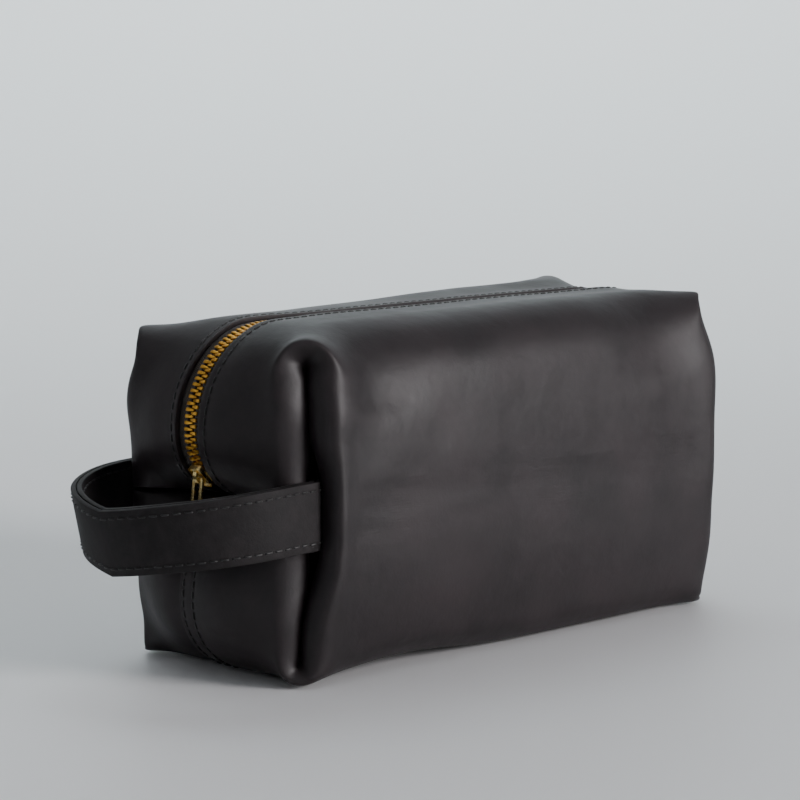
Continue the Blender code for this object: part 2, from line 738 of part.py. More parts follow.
def make_stops(colour):
    """Two top stops beyond the slider, and the bottom stop across the far end."""
    inner = NECK_WIDTH / 2 + CLEARANCE
    outer = CHAIN_WIDTH / 2
    distance = slider_distance() + SLIDER_LENGTH / 2 + 3 * CLEARANCE + STOP_LENGTH / 2
    for name, side in (("zip_top_stop_front", -1), ("zip_top_stop_back", 1)):
        frame = track_frame(distance, TAPE_DEPTH)
        across = side * frame.to_3x3().col[1].y
        shape = block((STOP_LENGTH, outer - inner, CHAIN_HEIGHT), (0, across * (outer + inner) / 2, 0))
        shape.transform(frame)
        add_object(name, shape, colour)
    distance = run_length(top_pieces()) - SLIDER_ABOVE_SEAM - END_STOP_LENGTH / 2 + 2 * CLEARANCE
    shape = block((END_STOP_LENGTH, CHAIN_WIDTH, CHAIN_HEIGHT), (0, 0, 0))
    shape.transform(track_frame(distance, TAPE_DEPTH, 1))
    add_object("zip_bottom_stop", shape, colour)


# ================================================================ handle
def seam_heart():
    """The upright seam at the strap's height, in the +X +Y quarter."""
    along, across, radius = corner_values(STRAP_CENTRE)
    return Vector((along - SEAM_IN * radius, across - SEAM_IN * radius))


def strap_pieces():
    """Middle line of the strap in plan, from its sewn-in end to the tip of the loop."""
    lead = ALLOWANCE + STRAP_LEAD
    begin = seam_heart() + Vector((DIAGONAL, DIAGONAL)) * STRAP_LEAD
    half_width = face_reach(HALF_LENGTH - CORNER_SETBACK, STRAP_CENTRE) - HANDLE_INSET
    bend = (half_width - begin.y) / (1 - DIAGONAL)
    return [(lead, 0.0), (bend * math.pi / 4, -math.pi / 4), (STRAP_REACH, 0.0),
            (half_width * math.pi / 2, -math.pi / 2)]


def strap_frame(distance):
    """Place on the strap's middle line, and the directions out of its face and up its height."""
    pieces = strap_pieces()
    total = run_length(pieces)
    hinge = ALLOWANCE + HINGE_LEAD
    side = -1 if distance <= total else 1
    along = distance if side < 0 else 2 * total - distance
    start = seam_heart() - Vector((DIAGONAL, DIAGONAL)) * ALLOWANCE
    point, heading = walk(start, math.pi / 4, pieces, along)
    share = max(along - hinge, 0.0) / (total - hinge)
    z = STRAP_CENTRE - HANDLE_DROOP * share ** 1.5
    level_out = Vector((math.sin(heading), side * math.cos(heading), 0))
    turn = HANDLE_TWIST * smooth(share)
    outward = level_out * math.cos(turn) - Vector((0, 0, math.sin(turn)))
    rising = level_out * math.sin(turn) + Vector((0, 0, math.cos(turn)))
    return Vector((-point.x, side * point.y, z)), outward, rising


def make_strap(name, first, last, offset, colour, origin=(0, 0, 0)):
    """One layer of the strap between two distances along it."""
    count = max(2, round((last - first) / FINE_STEP))
    strip = bmesh.new()
    bmesh.ops.create_grid(strip, x_segments=count, y_segments=1, size=1)
    for vertex in strip.verts:
        distance = first + (last - first) * (vertex.co.x + 1) / 2
        place, outward, rising = strap_frame(distance)
        rise = vertex.co.y * STRAP_HEIGHT / 2
        vertex.co = place + outward * offset + rising * rise
    bmesh.ops.reverse_faces(strip, faces=strip.faces)
    mesh = bpy.data.meshes.new(name)
    strip.to_mesh(mesh)
    strip.free()
    return thicken(add_object(name, mesh, colour, origin), STRAP_LAYER, 0)


def hinge_line():
    """Point on the level line about which the loop lifts and drops."""
    place = strap_frame(ALLOWANCE + HINGE_LEAD)[0]
    return Vector((place.x, 0, STRAP_CENTRE))


def make_handle(colour):
    """The loop in two layers, and the sewn-in ends of both layers at the two corner seams."""
    total = 2 * run_length(strap_pieces())
    hinge = ALLOWANCE + HINGE_LEAD
    middle = (STRAP_LAYER + CLEARANCE) / 2
    gap = CLEARANCE
    for layer, offset in (("outer", middle), ("inner", -middle)):
        make_strap(f"handle_{layer}_layer", hinge + gap, total - hinge - gap, offset, colour,
                   hinge_line())
        make_strap(f"handle_{layer}_end_front", 0.0, hinge - gap, offset, colour)
        make_strap(f"handle_{layer}_end_back", total - hinge + gap, total, offset, colour)


# ================================================================ thread
def make_thread(name, points, colour, origin=(0, 0, 0)):
    """A strand of waxed thread through a list of points."""
    curve = bpy.data.curves.new(name, "CURVE")
    curve.dimensions = "3D"
    curve.bevel_depth = THREAD / 2
    curve.bevel_resolution = 0
    curve.use_fill_caps = True
    spline = curve.splines.new("POLY")
    spline.points.add(len(points) - 1)
    for point, place in zip(spline.points, points):
        point.co = (*place, 1)
    return add_object(name, curve_mesh(curve), colour, origin)


def line_distances(pieces, spacing, margin):
    """Signed distances along a line over both ends, close together only where it is round."""
    total = run_length(pieces) - margin
    straight = pieces[0][0]
    count = round((total - straight) / spacing)
    half = [straight * step / 3 for step in range(1, 4)]
    half += [straight + (total - straight) * step / count for step in range(1, count + 1)]
    return [-distance for distance in reversed(half)] + [0.0] + half


def make_body_threads(colour):
    """A row of stitches along each edge of the zip, and the two rows of the bottom seam."""
    lift = 1.5 * CLEARANCE + THREAD / 2
    for name, side in (("zip_thread_front", -1), ("zip_thread_back", 1)):
        points = []
        for distance in line_distances(top_pieces(), FINE_STEP, 0.002):
            point, heading = middle_line(True, abs(distance), -lift)
            y = side * (ZIP_OPENING / 2 + STITCH_INSET)
            points.append((math.copysign(point.x, distance), y, point.y))
        make_thread(name, points, colour)
    depth = 2 * LEATHER + 5 * CLEARANCE + THREAD / 2
    for name, side in (("bottom_thread_front", -1), ("bottom_thread_back", 1)):
        points = []
        for distance in line_distances(base_pieces(), FINE_STEP, 0.008):
            point, heading = middle_line(False, abs(distance), depth)
            points.append((math.copysign(point.x, distance), side * BOTTOM_ROW, point.y))
        make_thread(name, points, colour)


def make_handle_threads(colour):
    """A row of stitches along each edge of the loop."""
    total = 2 * run_length(strap_pieces())
    first = ALLOWANCE + HINGE_LEAD + THREAD
    count = round((total - 2 * first) / FINE_STEP)
    lift = STRAP_THICKNESS / 2 + CLEARANCE + THREAD / 2
    for name, side in (("handle_thread_upper", 1), ("handle_thread_lower", -1)):
        points = []
        for step in range(count + 1):
            place, outward, rising = strap_frame(first + (total - 2 * first) * step / count)
            rise = side * (STRAP_HEIGHT / 2 - STITCH_INSET)
            points.append(place + outward * lift + rising * rise)
        make_thread(name, points, colour, hinge_line())


# ================================================================ build
def main():
    """Build every piece of the bag."""
    clear_scene()
    leather = material("black_pull_up_leather", (0.016, 0.013, 0.014), 0.42)
    strap = material("black_strap_leather", (0.014, 0.013, 0.014), 0.55)
    woven = material("black_zip_tape", (0.012, 0.011, 0.010), 0.9)
    brass = material("golden_brass", (0.62, 0.38, 0.11), 0.32, 1.0)
    slider = material("pale_brass", (0.66, 0.50, 0.24), 0.28, 1.0)
    thread = material("black_waxed_thread", (0.010, 0.010, 0.010), 0.6)
    for name, side in (("front", -1), ("back", 1)):
        make_panel(f"{name}_panel", side, leather)
        make_tape(f"zip_tape_{name}", side, woven)
        make_teeth(f"zip_teeth_{name}", side, brass)
    make_slider(slider)
    make_pull(slider)
    make_stops(brass)
    make_handle(strap)
    make_body_threads(thread)
    make_handle_threads(thread)


main()
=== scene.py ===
"""Leather shaving kit bag, modelled and finished over its frame of solids.

Run as a script, this registers the add-on's classes and makes the bag piece by piece: the two
leather sides, the brass zip with its tapes, slider and pull, the two-layer strap handle, every
stitch, and a plain stage.  Lengths are in metres; the bag's length lies along X with the handle
at -X, and its front faces -Y.
"""

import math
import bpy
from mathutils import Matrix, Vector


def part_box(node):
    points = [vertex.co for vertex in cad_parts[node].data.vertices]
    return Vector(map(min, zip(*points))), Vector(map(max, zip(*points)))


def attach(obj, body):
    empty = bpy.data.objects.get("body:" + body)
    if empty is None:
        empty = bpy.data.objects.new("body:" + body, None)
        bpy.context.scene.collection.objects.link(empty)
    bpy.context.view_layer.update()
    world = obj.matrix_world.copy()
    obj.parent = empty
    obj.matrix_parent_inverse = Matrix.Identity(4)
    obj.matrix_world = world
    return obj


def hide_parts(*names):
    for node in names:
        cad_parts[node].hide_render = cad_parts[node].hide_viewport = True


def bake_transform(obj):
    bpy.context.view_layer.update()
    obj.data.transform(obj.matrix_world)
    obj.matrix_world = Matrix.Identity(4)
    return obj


bl_info = {
    "name": "Shaving kit bag",
    "version": (1, 0, 0),
    "blender": (4, 5, 0),
    "location": "View3D > Sidebar > Kit Bag",
    "description": "Makes a boxed leather shaving kit bag with a brass zip and a strap handle",
    "category": "Add Mesh",
}

import bmesh
import bpy
from mathutils import Matrix, Vector, noise
from mathutils.bvhtree import BVHTree

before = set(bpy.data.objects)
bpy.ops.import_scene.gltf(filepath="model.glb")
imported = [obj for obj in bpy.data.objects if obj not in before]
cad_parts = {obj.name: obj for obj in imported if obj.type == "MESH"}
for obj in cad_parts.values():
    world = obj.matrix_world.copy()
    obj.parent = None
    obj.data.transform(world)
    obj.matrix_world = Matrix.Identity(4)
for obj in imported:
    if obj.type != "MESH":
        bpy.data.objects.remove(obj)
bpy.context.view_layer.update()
BODY_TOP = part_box("front_panel")[1].z
MM = 0.001
DIAGONAL = math.sqrt(0.5)
FULL_TURN = 6.2832
CLEARANCE = 0.3 * MM
FACE_FULLNESS = 0.6     # how squarely a face's swell fills out toward its edges
END_FULLNESS = 0.7      # the same for the ends
FOLD_BACK = 1.746       # first fold line of a roll, behind the face, in roll radii
FOLD_SIDE = 1.235       # second fold line, from the face and from the end
SEAM_IN = 1.707         # the seam itself, from each of them
FOLDS = 4           # fold lines between a face and the end of its turned-in edge
RUN_FOLDS = 6       # fold lines from the bag's middle to a corner
FLAP_FOLDS = 9      # fold lines from a corner's roll down to the level seam
WALL_FOLDS = 4      # fold lines from a face's edge to its mid-height
FACE_KNEE = 1 - 1 / WALL_FOLDS      # the face's fold line at this share runs just past the strap
FLAP_KNEE = 6 / FLAP_FOLDS          # the same on a flap
SIDES = (("front", -1), ("back", 1))
SLIDER_PLATE = 0.9 * MM     # thickness of each plate of the slider


# ================================================================ colours
def linear(text):
    """Turn an sRGB hex colour into linear red, green and blue."""
    parts = [int(text[at:at + 2], 16) / 255 for at in (0, 2, 4)]
    return [part / 12.92 if part <= 0.04045 else ((part + 0.055) / 1.055) ** 2.4 for part in parts]


def length(name, description, default):
    """A property in metres."""
    return bpy.props.FloatProperty(name=name, description=description, default=default, min=0.0,
                                   subtype="DISTANCE", unit="LENGTH", precision=5)


def angle(name, description, degrees):
    """A property in radians, its default given in degrees."""
    return bpy.props.FloatProperty(name=name, description=description, default=math.radians(degrees),
                                   subtype="ANGLE", unit="ROTATION")


def colour(name, description, default):
    """A colour property, its default given as sRGB hex."""
    return bpy.props.FloatVectorProperty(name=name, description=description, subtype="COLOR",
                                         size=3, min=0.0, max=1.0, default=linear(default))


# ================================================================ sizes and finishes
class KitBodySizes(bpy.types.PropertyGroup):
    """Sizes of the leather body."""
    length: length("Length", "From corner seam to corner seam", 0.229)
    depth: length("Depth", "From front corner to back corner", 0.088)
    height: length("Height", "Floor to the leather beside the zip", BODY_TOP)
    leather: length("Leather", "Thickness of the leather", 0.002)
    face_bulge: length("Face bulge", "Swell of the faces at their middle", 0.0115)
    corner_bulge: length("Corner bulge", "Swell of the faces beside the corners", 0.0103)
    upper_end_bulge: length("Upper end bulge", "Swell of the ends above the seam", 0.006)
    lower_end_bulge: length("Lower end bulge", "Swell of the ends below the seam", 0.006)
    top_edge: length("Top edge radius", "Round of the long top edges", 0.026)
    top_corner: length("Top corner radius", "Round of the top edges at the corners", 0.020)
    base_edge: length("Base edge radius", "Round of the bottom edges", 0.014)
    roll: length("Roll radius", "Leather rolling into a corner seam", 0.009)
    base_roll: length("Base roll radius", "The same at the base", 0.006)
    roll_fill: length("Roll fill", "The rolls stand this far fuller than round", 0.0032)
    corner_setback: length("Corner setback", "The roll begins this far before a corner", 0.018)
    allowance: length("Allowance", "Leather turned in past a corner seam", 0.006)
    top_dent: length("Top dent", "Sink of the top edges beside each corner", 0.005)
    dent_setback: length("Dent setback", "Middle of that dip from the corner", 0.036)
    dent_width: length("Dent width", "Width of that dip", 0.017)
    base_spread: length("Base spread", "Bottom corners pushed outward", 0.003)
    lap: length("Lap", "Front leather past the middle of the base", 0.0045)
    lap_margin: length("Lap margin", "Back leather lies low this far past the lap", 0.003)
    lap_step: length("Lap step", "Width over which it rises again", 0.0045)


class KitFillSizes(bpy.types.PropertyGroup):
    """How far what is packed inside, and use, move the leather."""
    back_in: length("Back corner in", "The handle end's back corner is pressed in", 0.0064)
    back_across: length("Back corner across", "The same corner is pushed out to the back", 0.0016)
    far_out: length("Far corner out", "The far end's front corner is pushed out", 0.0066)
    far_across: length("Far corner across", "The same corner is pushed out to the front", 0.0018)
    near_move: length("Near corner move", "The handle end's front corner moves in and forward", 0.0016)
    end_sunk: length("End sunk", "The back's top has sunk at the handle's end", 0.0030)
    end_rise: length("End rise", "Its rise from there to the far end", 0.0056)
    corner_dip: length("Corner dip", "Dip of the front's top at the handle's end", 0.0024)
    crown: length("Crown", "Rise of the front's top past its middle", 0.0014)
    lifted: length("Lifted edge", "Rise of the front's bottom edge off the floor", 0.0036)
    front_lip: length("Front lip", "Rise of the front's edge beside the zip", 0.0006)
    back_lip: length("Back lip", "Fall of the back's edge beside the zip", 0.0005)
    waves: length("Waves", "Broad unevenness of the hide", 0.00045)
    dimples: length("Dimples", "Small unevenness of the hide", 0.00018)
    flex: length("Flex", "Hollow where the faces flex at mid-height", 0.00055)
    upright_flex: length("Upright flex", "Hollow of the one upright flex", 0.0003)
    wrinkles: length("Wrinkles", "Height of the fine wrinkles at mid-height", 0.00022)
    zip_pull_in: length("Zip stitch pull", "Stitches beside the zip sink the leather", 0.00032)
    zip_ridge: length("Zip ridge", "Leather standing up between stitches and edge", 0.00012)
    base_pull_in: length("Bottom stitch pull", "Stitches of the bottom sink the leather", 0.0003)


class KitZipSizes(bpy.types.PropertyGroup):
    """Sizes of the zip and of the line it follows over the ends."""
    track_radius: length("Track radius", "Round of the zip over an end", 0.040)
    track_setback: length("Track setback", "The round begins this far before a corner", 0.0256)
    lower_radius: length("Lower radius", "Round of the base up an end", 0.029)
    lower_setback: length("Lower setback", "That round's start before a corner", 0.0143)
    seam_turn: length("Seam turn", "Leather turning in at the level seam", 0.0012)
    turn_in: length("Turn in", "Leather turned in past the level seam", 0.008)
    ring_pitch: length("Ring pitch", "Spacing of the fold lines at a corner", 0.0066)
    opening: length("Opening", "Between the two leather edges", 0.0124)
    tape_width: length("Tape width", "Both tapes together", 0.032)
    tape: length("Tape", "Thickness of a tape", 0.0008)
    chain_height: length("Chain height", "Height of the teeth", 0.0024)
    pitch: length("Tooth pitch", "From tooth to tooth in one row", 0.00254)
    slider_length: length("Slider length", "Along the zip", 0.0095)
    slider_width: length("Slider width", "Across the zip", 0.0085)
    slider_above_seam: length("Slider place", "Slider to level seam, along the zip", 0.0165)
    tuck: angle("Tuck", "Turn of the zip's line into the level seam", 80)
    lower_tuck: angle("Lower tuck", "Turn of the base's line into the level seam", 58)
    pull_lean: angle("Pull lean", "The pull hangs this far from upright", 8)


class KitHandleSizes(bpy.types.PropertyGroup):
    """Sizes of the strap handle."""
    height: length("Strap height", "Width of the strap, which stands on edge", 0.0254)
    layer: length("Layer", "Thickness of each of the two layers", 0.00205)
    gap: length("Gap", "Between the two layers", 0.0003)
    drop: length("Drop", "Middle of the strap below the level seam", 0.00225)
    inset: length("Inset", "Middle line of the loop inside the faces", 0.0095)
    lead: length("Lead", "Straight run out of the seam", 0.006)
    reach: length("Reach", "Straight run before the round of the loop", 0.0115)
    hinge_lead: length("Hinge lead", "Seam to where the loop bends up and down", 0.016)
    droop: length("Droop", "The loop's end hangs this much lower", 0.008)
    ease: length("Ease", "Room on each side of the strap in the seam", 0.0005)
    guard: length("Guard", "The seam stays open this far past the strap", 0.003)
    twist: angle("Twist", "Lean of the strap at the end of the loop", 14)


class KitStitchSizes(bpy.types.PropertyGroup):
    """Sizes of the stitching."""
    thread: length("Thread", "Diameter of the waxed thread", 0.00075)
    pitch: length("Pitch", "From stitch to stitch", 0.0040)
    gap: length("Gap", "Between the ends of two stitches", 0.0006)
    inset: length("Inset", "Stitches to the edge of the leather", 0.003)
    bottom_row: length("Bottom row", "Each bottom row from the middle line", 0.0027)


class KitFinishes(bpy.types.PropertyGroup):
    """Colours of the finishes."""
    leather: colour("Leather", "Pull-up leather, at rest", "171214")
    leather_worn: colour("Worn leather", "Where the wax has moved", "292224")
    strap: colour("Strap", "Strap leather", "141112")
    strap_worn: colour("Worn strap", "Strap leather where it is rubbed", "262223")
    edge: colour("Cut edge", "Fibres at a cut edge", "6e655e")
    tape: colour("Tape", "Woven polyester tape", "15120f")
    tape_light: colour("Tape highlights", "Crowns of the weave", "3b2e22")
    teeth: colour("Teeth", "Golden brass", "d9a441")
    teeth_dark: colour("Tarnish", "Brass in its hollows", "7d4a16")
    slider: colour("Slider", "Pale cast brass", "e2cc8e")
    thread: colour("Thread", "Black waxed thread", "121212")
    # painted shade: the thread is drawn darker between its plies, where shade falls
    painted_ply_shade: colour("Thread hollows", "Between the plies of the thread", "0a0a0a")
    floor: colour("Floor", "Pale matt floor", "eeeeef")


def body():
    """The leather's sizes."""
    return bpy.context.scene.kit_body


def fill():
    """How the filled bag's leather sits."""
    return bpy.context.scene.kit_fill


def zipper():
    """The zip's sizes."""
    return bpy.context.scene.kit_zip


def strap():
    """The handle's sizes."""
    return bpy.context.scene.kit_handle


def stitch():
    """The stitching's sizes."""
    return bpy.context.scene.kit_stitch


def finish():
    """The colours."""
    return bpy.context.scene.kit_finish


# ================================================================ material nodes
def add_node(tree, kind, values=None, links=None, **settings):
    """Add a node with its settings, its sockets' values and its links."""
    made = tree.nodes.new(kind)
    for name, value in settings.items():
        setattr(made, name, value)
    for socket, value in (values or {}).items():
        made.inputs[socket].default_value = value
    for socket, source in (links or {}).items():
        tree.links.new(source, made.inputs[socket])
    return made


def new_material(name, values):
    """A material with a Principled shader, and its node tree."""
    made = bpy.data.materials.new(name)
    made.use_nodes = True
    shader = made.node_tree.nodes["Principled BSDF"]
    for socket, value in values.items():
        shader.inputs[socket].default_value = value
    return made, made.node_tree, shader


def rgba(values):
    """A colour with full alpha."""
    return (*values, 1.0)


def object_place(tree):
    """Where a point of the surface lies, in metres."""
    return add_node(tree, "ShaderNodeTexCoord").outputs["Object"]


def noise_of(tree, place, size, detail, roughness=0.5):
    """Cloudy noise, its largest clouds a size in metres."""
    values = {"Scale": 1 / size, "Detail": detail, "Roughness": roughness}
    return add_node(tree, "ShaderNodeTexNoise", values, {"Vector": place}).outputs["Fac"]


def calculate(tree, operation, *operands):
    """One step of arithmetic; each operand is a number or a socket."""
    made = add_node(tree, "ShaderNodeMath", operation=operation)
    for at, operand in enumerate(operands):
        if isinstance(operand, float):
            made.inputs[at].default_value = operand
        else:
            tree.links.new(operand, made.inputs[at])
    return made.outputs[0]


def ranged(tree, value, low, high, to_low=0.0, to_high=1.0, **settings):
    """A value taken from one range to another."""
    values = {"From Min": low, "From Max": high, "To Min": to_low, "To Max": to_high}
    return add_node(tree, "ShaderNodeMapRange", values, {"Value": value}, **settings).outputs["Result"]


def tinted(tree, share, first, second):
    """A colour between two, by a share."""
    made = add_node(tree, "ShaderNodeMix", {6: rgba(first), 7: rgba(second)}, {0: share}, data_type="RGBA")
    return made.outputs[2]


def bump(tree, height, strength, distance, under=None, **settings):
    """A bump of a depth in metres, over another where there is one."""
    links = {"Height": height}
    if under is not None:
        links["Normal"] = under
    values = {"Strength": strength, "Distance": distance}
    return add_node(tree, "ShaderNodeBump", values, links, **settings).outputs[0]


def feed(tree, shader, sources):
    """Link sources to the shader's sockets."""
    for socket, source in sources.items():
        tree.links.new(source, shader.inputs[socket])


def pull_up_leather():
    """Waxed pull-up cowhide: smooth and nearly black, its wax giving a broad satin sheen that
    clouds where the leather has been bent, over a fine tight grain."""
    made, tree, shader = new_material("waxed_pull_up_cowhide", {"IOR": 1.48, "Specular IOR Level": 0.36})
    place = object_place(tree)
    mottle = noise_of(tree, place, 3.5 * MM, 4.0, 0.7)
    wax = calculate(tree, "ADD", noise_of(tree, place, 34 * MM, 5.0, 0.62),
                    calculate(tree, "MULTIPLY", mottle, 0.3))
    tone = tinted(tree, ranged(tree, wax, 0.5, 0.92), finish().leather, finish().leather_worn)
    polish = ranged(tree, wax, 0.35, 0.95, 0.43, 0.58)

    # the grain's cells are about 0.6 mm across, drawn at 0.8 mm so that they show
    warp = add_node(tree, "ShaderNodeTexNoise", {"Scale": 1 / (2 * MM), "Detail": 2.0}, {"Vector": place})
    shifted = add_node(tree, "ShaderNodeMix", {0: 0.0008}, {4: place, 5: warp.outputs["Color"]},
                       data_type="VECTOR", factor_mode="UNIFORM")
    cells = add_node(tree, "ShaderNodeTexVoronoi", {"Scale": 1 / (0.8 * MM), "Randomness": 1.0},
                     {"Vector": shifted.outputs[1]}, feature="SMOOTH_F1")
    grain = bump(tree, cells.outputs["Distance"], 0.22, 0.1 * MM, invert=True)

    # long shallow creases where the faces flex at mid-height, about 2 mm apart
    stretched = add_node(tree, "ShaderNodeMapping", {"Scale": (1 / 0.030, 1 / 0.030, 1 / 0.0028)},
                         {"Vector": place})
    lines = add_node(tree, "ShaderNodeTexNoise",
                     {"Scale": 1.0, "Detail": 5.0, "Roughness": 0.6, "Distortion": 0.35},
                     {"Vector": stretched.outputs[0]})
    ridge = calculate(tree, "ABSOLUTE", calculate(tree, "SUBTRACT", lines.outputs["Fac"], 0.5))
    valley = ranged(tree, ridge, 0.0, 0.07)
    parts = add_node(tree, "ShaderNodeSeparateXYZ", None, {0: place})
    away = calculate(tree, "ABSOLUTE",
                     calculate(tree, "SUBTRACT", parts.outputs["Z"], body().height / 2))
    near = ranged(tree, away, 0.004, 0.022, 1.0, 0.04, interpolation_type="SMOOTHSTEP")
    patchy = ranged(tree, noise_of(tree, place, 45 * MM, 2.0), 0.42, 0.62)
    amount = calculate(tree, "MULTIPLY", near, patchy)
    smooth_part = calculate(tree, "SUBTRACT", 1.0, amount)
    depth = calculate(tree, "ADD", calculate(tree, "MULTIPLY", valley, amount), smooth_part)
    creased = bump(tree, depth, 0.10, 0.4 * MM, grain)

    # the hide isn't flat: loose and tight spots a centimetre or so across
    uneven = bump(tree, noise_of(tree, place, 11 * MM, 3.0), 0.35, 0.9 * MM, creased)
    feed(tree, shader, {"Base Color": tone, "Roughness": polish, "Normal": uneven})
    return made


def strap_leather():
    """Bridle-weight strap leather: drier than the body, so its sheen is broad and weak, with a
    finer grain and paler rubs."""
    made, tree, shader = new_material("dry_strap_leather", {"IOR": 1.46, "Specular IOR Level": 0.28})
    place = object_place(tree)
    rub = noise_of(tree, place, 9 * MM, 6.0, 0.7)
    tone = tinted(tree, ranged(tree, rub, 0.45, 0.75), finish().strap, finish().strap_worn)
    dry = ranged(tree, rub, 0.0, 1.0, 0.58, 0.74)
    cells = add_node(tree, "ShaderNodeTexVoronoi", {"Scale": 1 / (0.6 * MM)}, {"Vector": place},
                     feature="SMOOTH_F1")
    grain = bump(tree, cells.outputs["Distance"], 0.3, 0.1 * MM, invert=True)
    uneven = bump(tree, noise_of(tree, place, 4 * MM, 4.0), 0.3, 0.4 * MM, grain)
    feed(tree, shader, {"Base Color": tone, "Roughness": dry, "Normal": uneven})
    return made


def cut_edge():
    """Raw cut edge of dyed leather: dull, fibrous and greyer than the grain side."""
    made, tree, shader = new_material("raw_cut_leather_edge",
                                      {"IOR": 1.45, "Specular IOR Level": 0.25, "Roughness": 0.88})
    fibres = noise_of(tree, object_place(tree), 0.6 * MM, 6.0, 0.75)
    feed(tree, shader, {"Base Color": tinted(tree, fibres, finish().leather, finish().edge),
                        "Normal": bump(tree, fibres, 0.7, 0.25 * MM)})
    return made


def woven_tape():
    """Polyester zip tape: a close herringbone of dark yarns half a millimetre wide, drawn along
    the piece's own UV map, which is in metres."""
    made, tree, shader = new_material("woven_polyester_tape", {"Roughness": 0.82, "Sheen Weight": 0.25})
    place = add_node(tree, "ShaderNodeUVMap", uv_map="weave").outputs[0]
    parts = add_node(tree, "ShaderNodeSeparateXYZ", None, {0: place})
    zigzag = calculate(tree, "PINGPONG", parts.outputs["X"], 2.4 * MM)
    slant = calculate(tree, "ADD", zigzag, parts.outputs["Y"])
    joined = add_node(tree, "ShaderNodeCombineXYZ", None, {0: slant})
    yarns = add_node(tree, "ShaderNodeTexWave",
                     {"Scale": 1 / (0.6 * MM * FULL_TURN), "Distortion": 0.4, "Detail": 1.0},
                     {"Vector": joined.outputs[0]}, wave_type="BANDS", bands_direction="X").outputs["Fac"]
    feed(tree, shader, {"Base Color": tinted(tree, yarns, finish().tape, finish().tape_light),
                        "Normal": bump(tree, yarns, 0.6, 0.2 * MM)})
    return made


def brass(name, bright, dark, roughness):
    """Brass: struck teeth or a cast slider, bright on what rubs and browner in the hollows."""
    made, tree, shader = new_material(name, {"Metallic": 1.0})
    place = object_place(tree)
    stain = noise_of(tree, place, 2.2 * MM, 4.0)
    tone = tinted(tree, ranged(tree, stain, 0.5, 0.8), bright, dark)
    worn = ranged(tree, stain, 0.0, 1.0, roughness - 0.08, roughness + 0.12)
    cast = bump(tree, noise_of(tree, place, 0.3 * MM, 2.0), 0.15, 0.04 * MM)
    feed(tree, shader, {"Base Color": tone, "Roughness": worn, "Normal": cast})
    return made


def waxed_thread():
    """Waxed polyester thread: black plies twisted together, with a dull shine."""
    made, tree, shader = new_material("waxed_polyester_thread", {"Roughness": 0.5, "IOR": 1.5})
    slant = add_node(tree, "ShaderNodeMapping", {"Rotation": (0.6, 0.7, 0.5)},
                     {"Vector": object_place(tree)})
    plies = add_node(tree, "ShaderNodeTexWave", {"Scale": 1 / (0.7 * MM * FULL_TURN), "Distortion": 0.5},
                     {"Vector": slant.outputs[0]}).outputs["Fac"]
    # painted shade: the hollows between the plies are coloured darker to stand in for their shade
    tone = tinted(tree, ranged(tree, plies, 0.0, 1.0, 0.5, 1.0), finish().painted_ply_shade, finish().thread)
    feed(tree, shader, {"Base Color": tone, "Normal": bump(tree, plies, 0.6, 0.1 * MM)})
    return made


MATERIALS = {}


def material(name):
    """A finish by its short name, made once."""
    makers = {
        "leather": pull_up_leather,
        "strap": strap_leather,
        "edge": cut_edge,
        "tape": woven_tape,
        "teeth": lambda: brass("struck_golden_brass", finish().teeth, finish().teeth_dark, 0.30),
        "slider": lambda: brass("cast_pale_brass", finish().slider, finish().teeth, 0.26),
        "thread": waxed_thread,
    }
    if name not in MATERIALS:
        MATERIALS[name] = makers[name]()
    return MATERIALS[name]


# ================================================================ shape of the body
def hump(t):
    """0 at both ends of 0..1 and 1 in the middle."""
    t = min(max(t, 0.0), 1.0)
    return 1 - (2 * t - 1) ** 2


def smooth(t):
    """Ease from 0 to 1."""
    t = min(max(t, 0.0), 1.0)
    return t * t * (3 - 2 * t)


def bell(offset, width):
    """1 at no offset, falling smoothly to nothing past a few widths."""
    return math.exp(-((offset / width) ** 2))


def walk(start, heading, pieces, distance):
    """Point and heading after a distance along straight and round pieces (length, turn)."""
    point = Vector(start)
    for run, turn in pieces:
        step = min(distance, run)
        angle = turn * step / run
        chord = step if abs(angle) < 1e-9 else 2 * step / angle * math.sin(angle / 2)
        middle = heading + angle / 2
        point += chord * Vector((math.cos(middle), math.sin(middle)))
        heading += angle
        distance -= step
        if distance <= 0:
            break
    return point, heading


def seam_height():
    """Height of the level seam across each end."""
    return body().height / 2


def strap_centre():
    """Height of the strap's middle at the seams."""
    return seam_height() - strap().drop


def roll_start():
    """Distance along X at which a corner's roll begins."""
    return body().length / 2 - body().corner_setback


def face_reach(x, z):
    """Distance of a standing face from the middle plane."""
    sizes = body()
    swell = sizes.corner_bulge + (sizes.face_bulge - sizes.corner_bulge) * hump(0.5 + x / sizes.length)
    return sizes.depth / 2 + swell * hump(z / sizes.height) ** FACE_FULLNESS


def end_reach(z):
    """Distance of an end from the bag's middle, beside its upright seams."""
    sizes = body()
    seam = seam_height()
    bulge, share = sizes.lower_end_bulge, z / seam
    if z > seam:
        bulge, share = sizes.upper_end_bulge, (z - seam) / (sizes.height - seam)
    return sizes.length / 2 + bulge * hump(share) ** END_FULLNESS


def near_strap(z, fade):
    """1 at the strap's height, easing to 0 over a distance above and below it."""
    away = abs(z - strap_centre()) - strap().height / 2 - strap().guard
    return 1 - smooth(away / fade)


def slit(z):
    """Half the gap of an upright seam, which opens where the strap passes."""
    closed = 0.2 * MM
    opened = strap().layer + strap().gap / 2 + strap().ease - closed
    return closed + opened * near_strap(z, 11 * MM)


def top_pieces():
    """Line of the leather from the top's centre over an end to the level seam."""
    sizes = zipper()
    tuck = sizes.tuck
    second = (body().height - sizes.track_radius - seam_height() - sizes.seam_turn) / math.sin(tuck)
    return [(body().length / 2 - sizes.track_setback, 0.0),
            (sizes.track_radius * math.pi / 2, -math.pi / 2), (second * tuck, -tuck)]


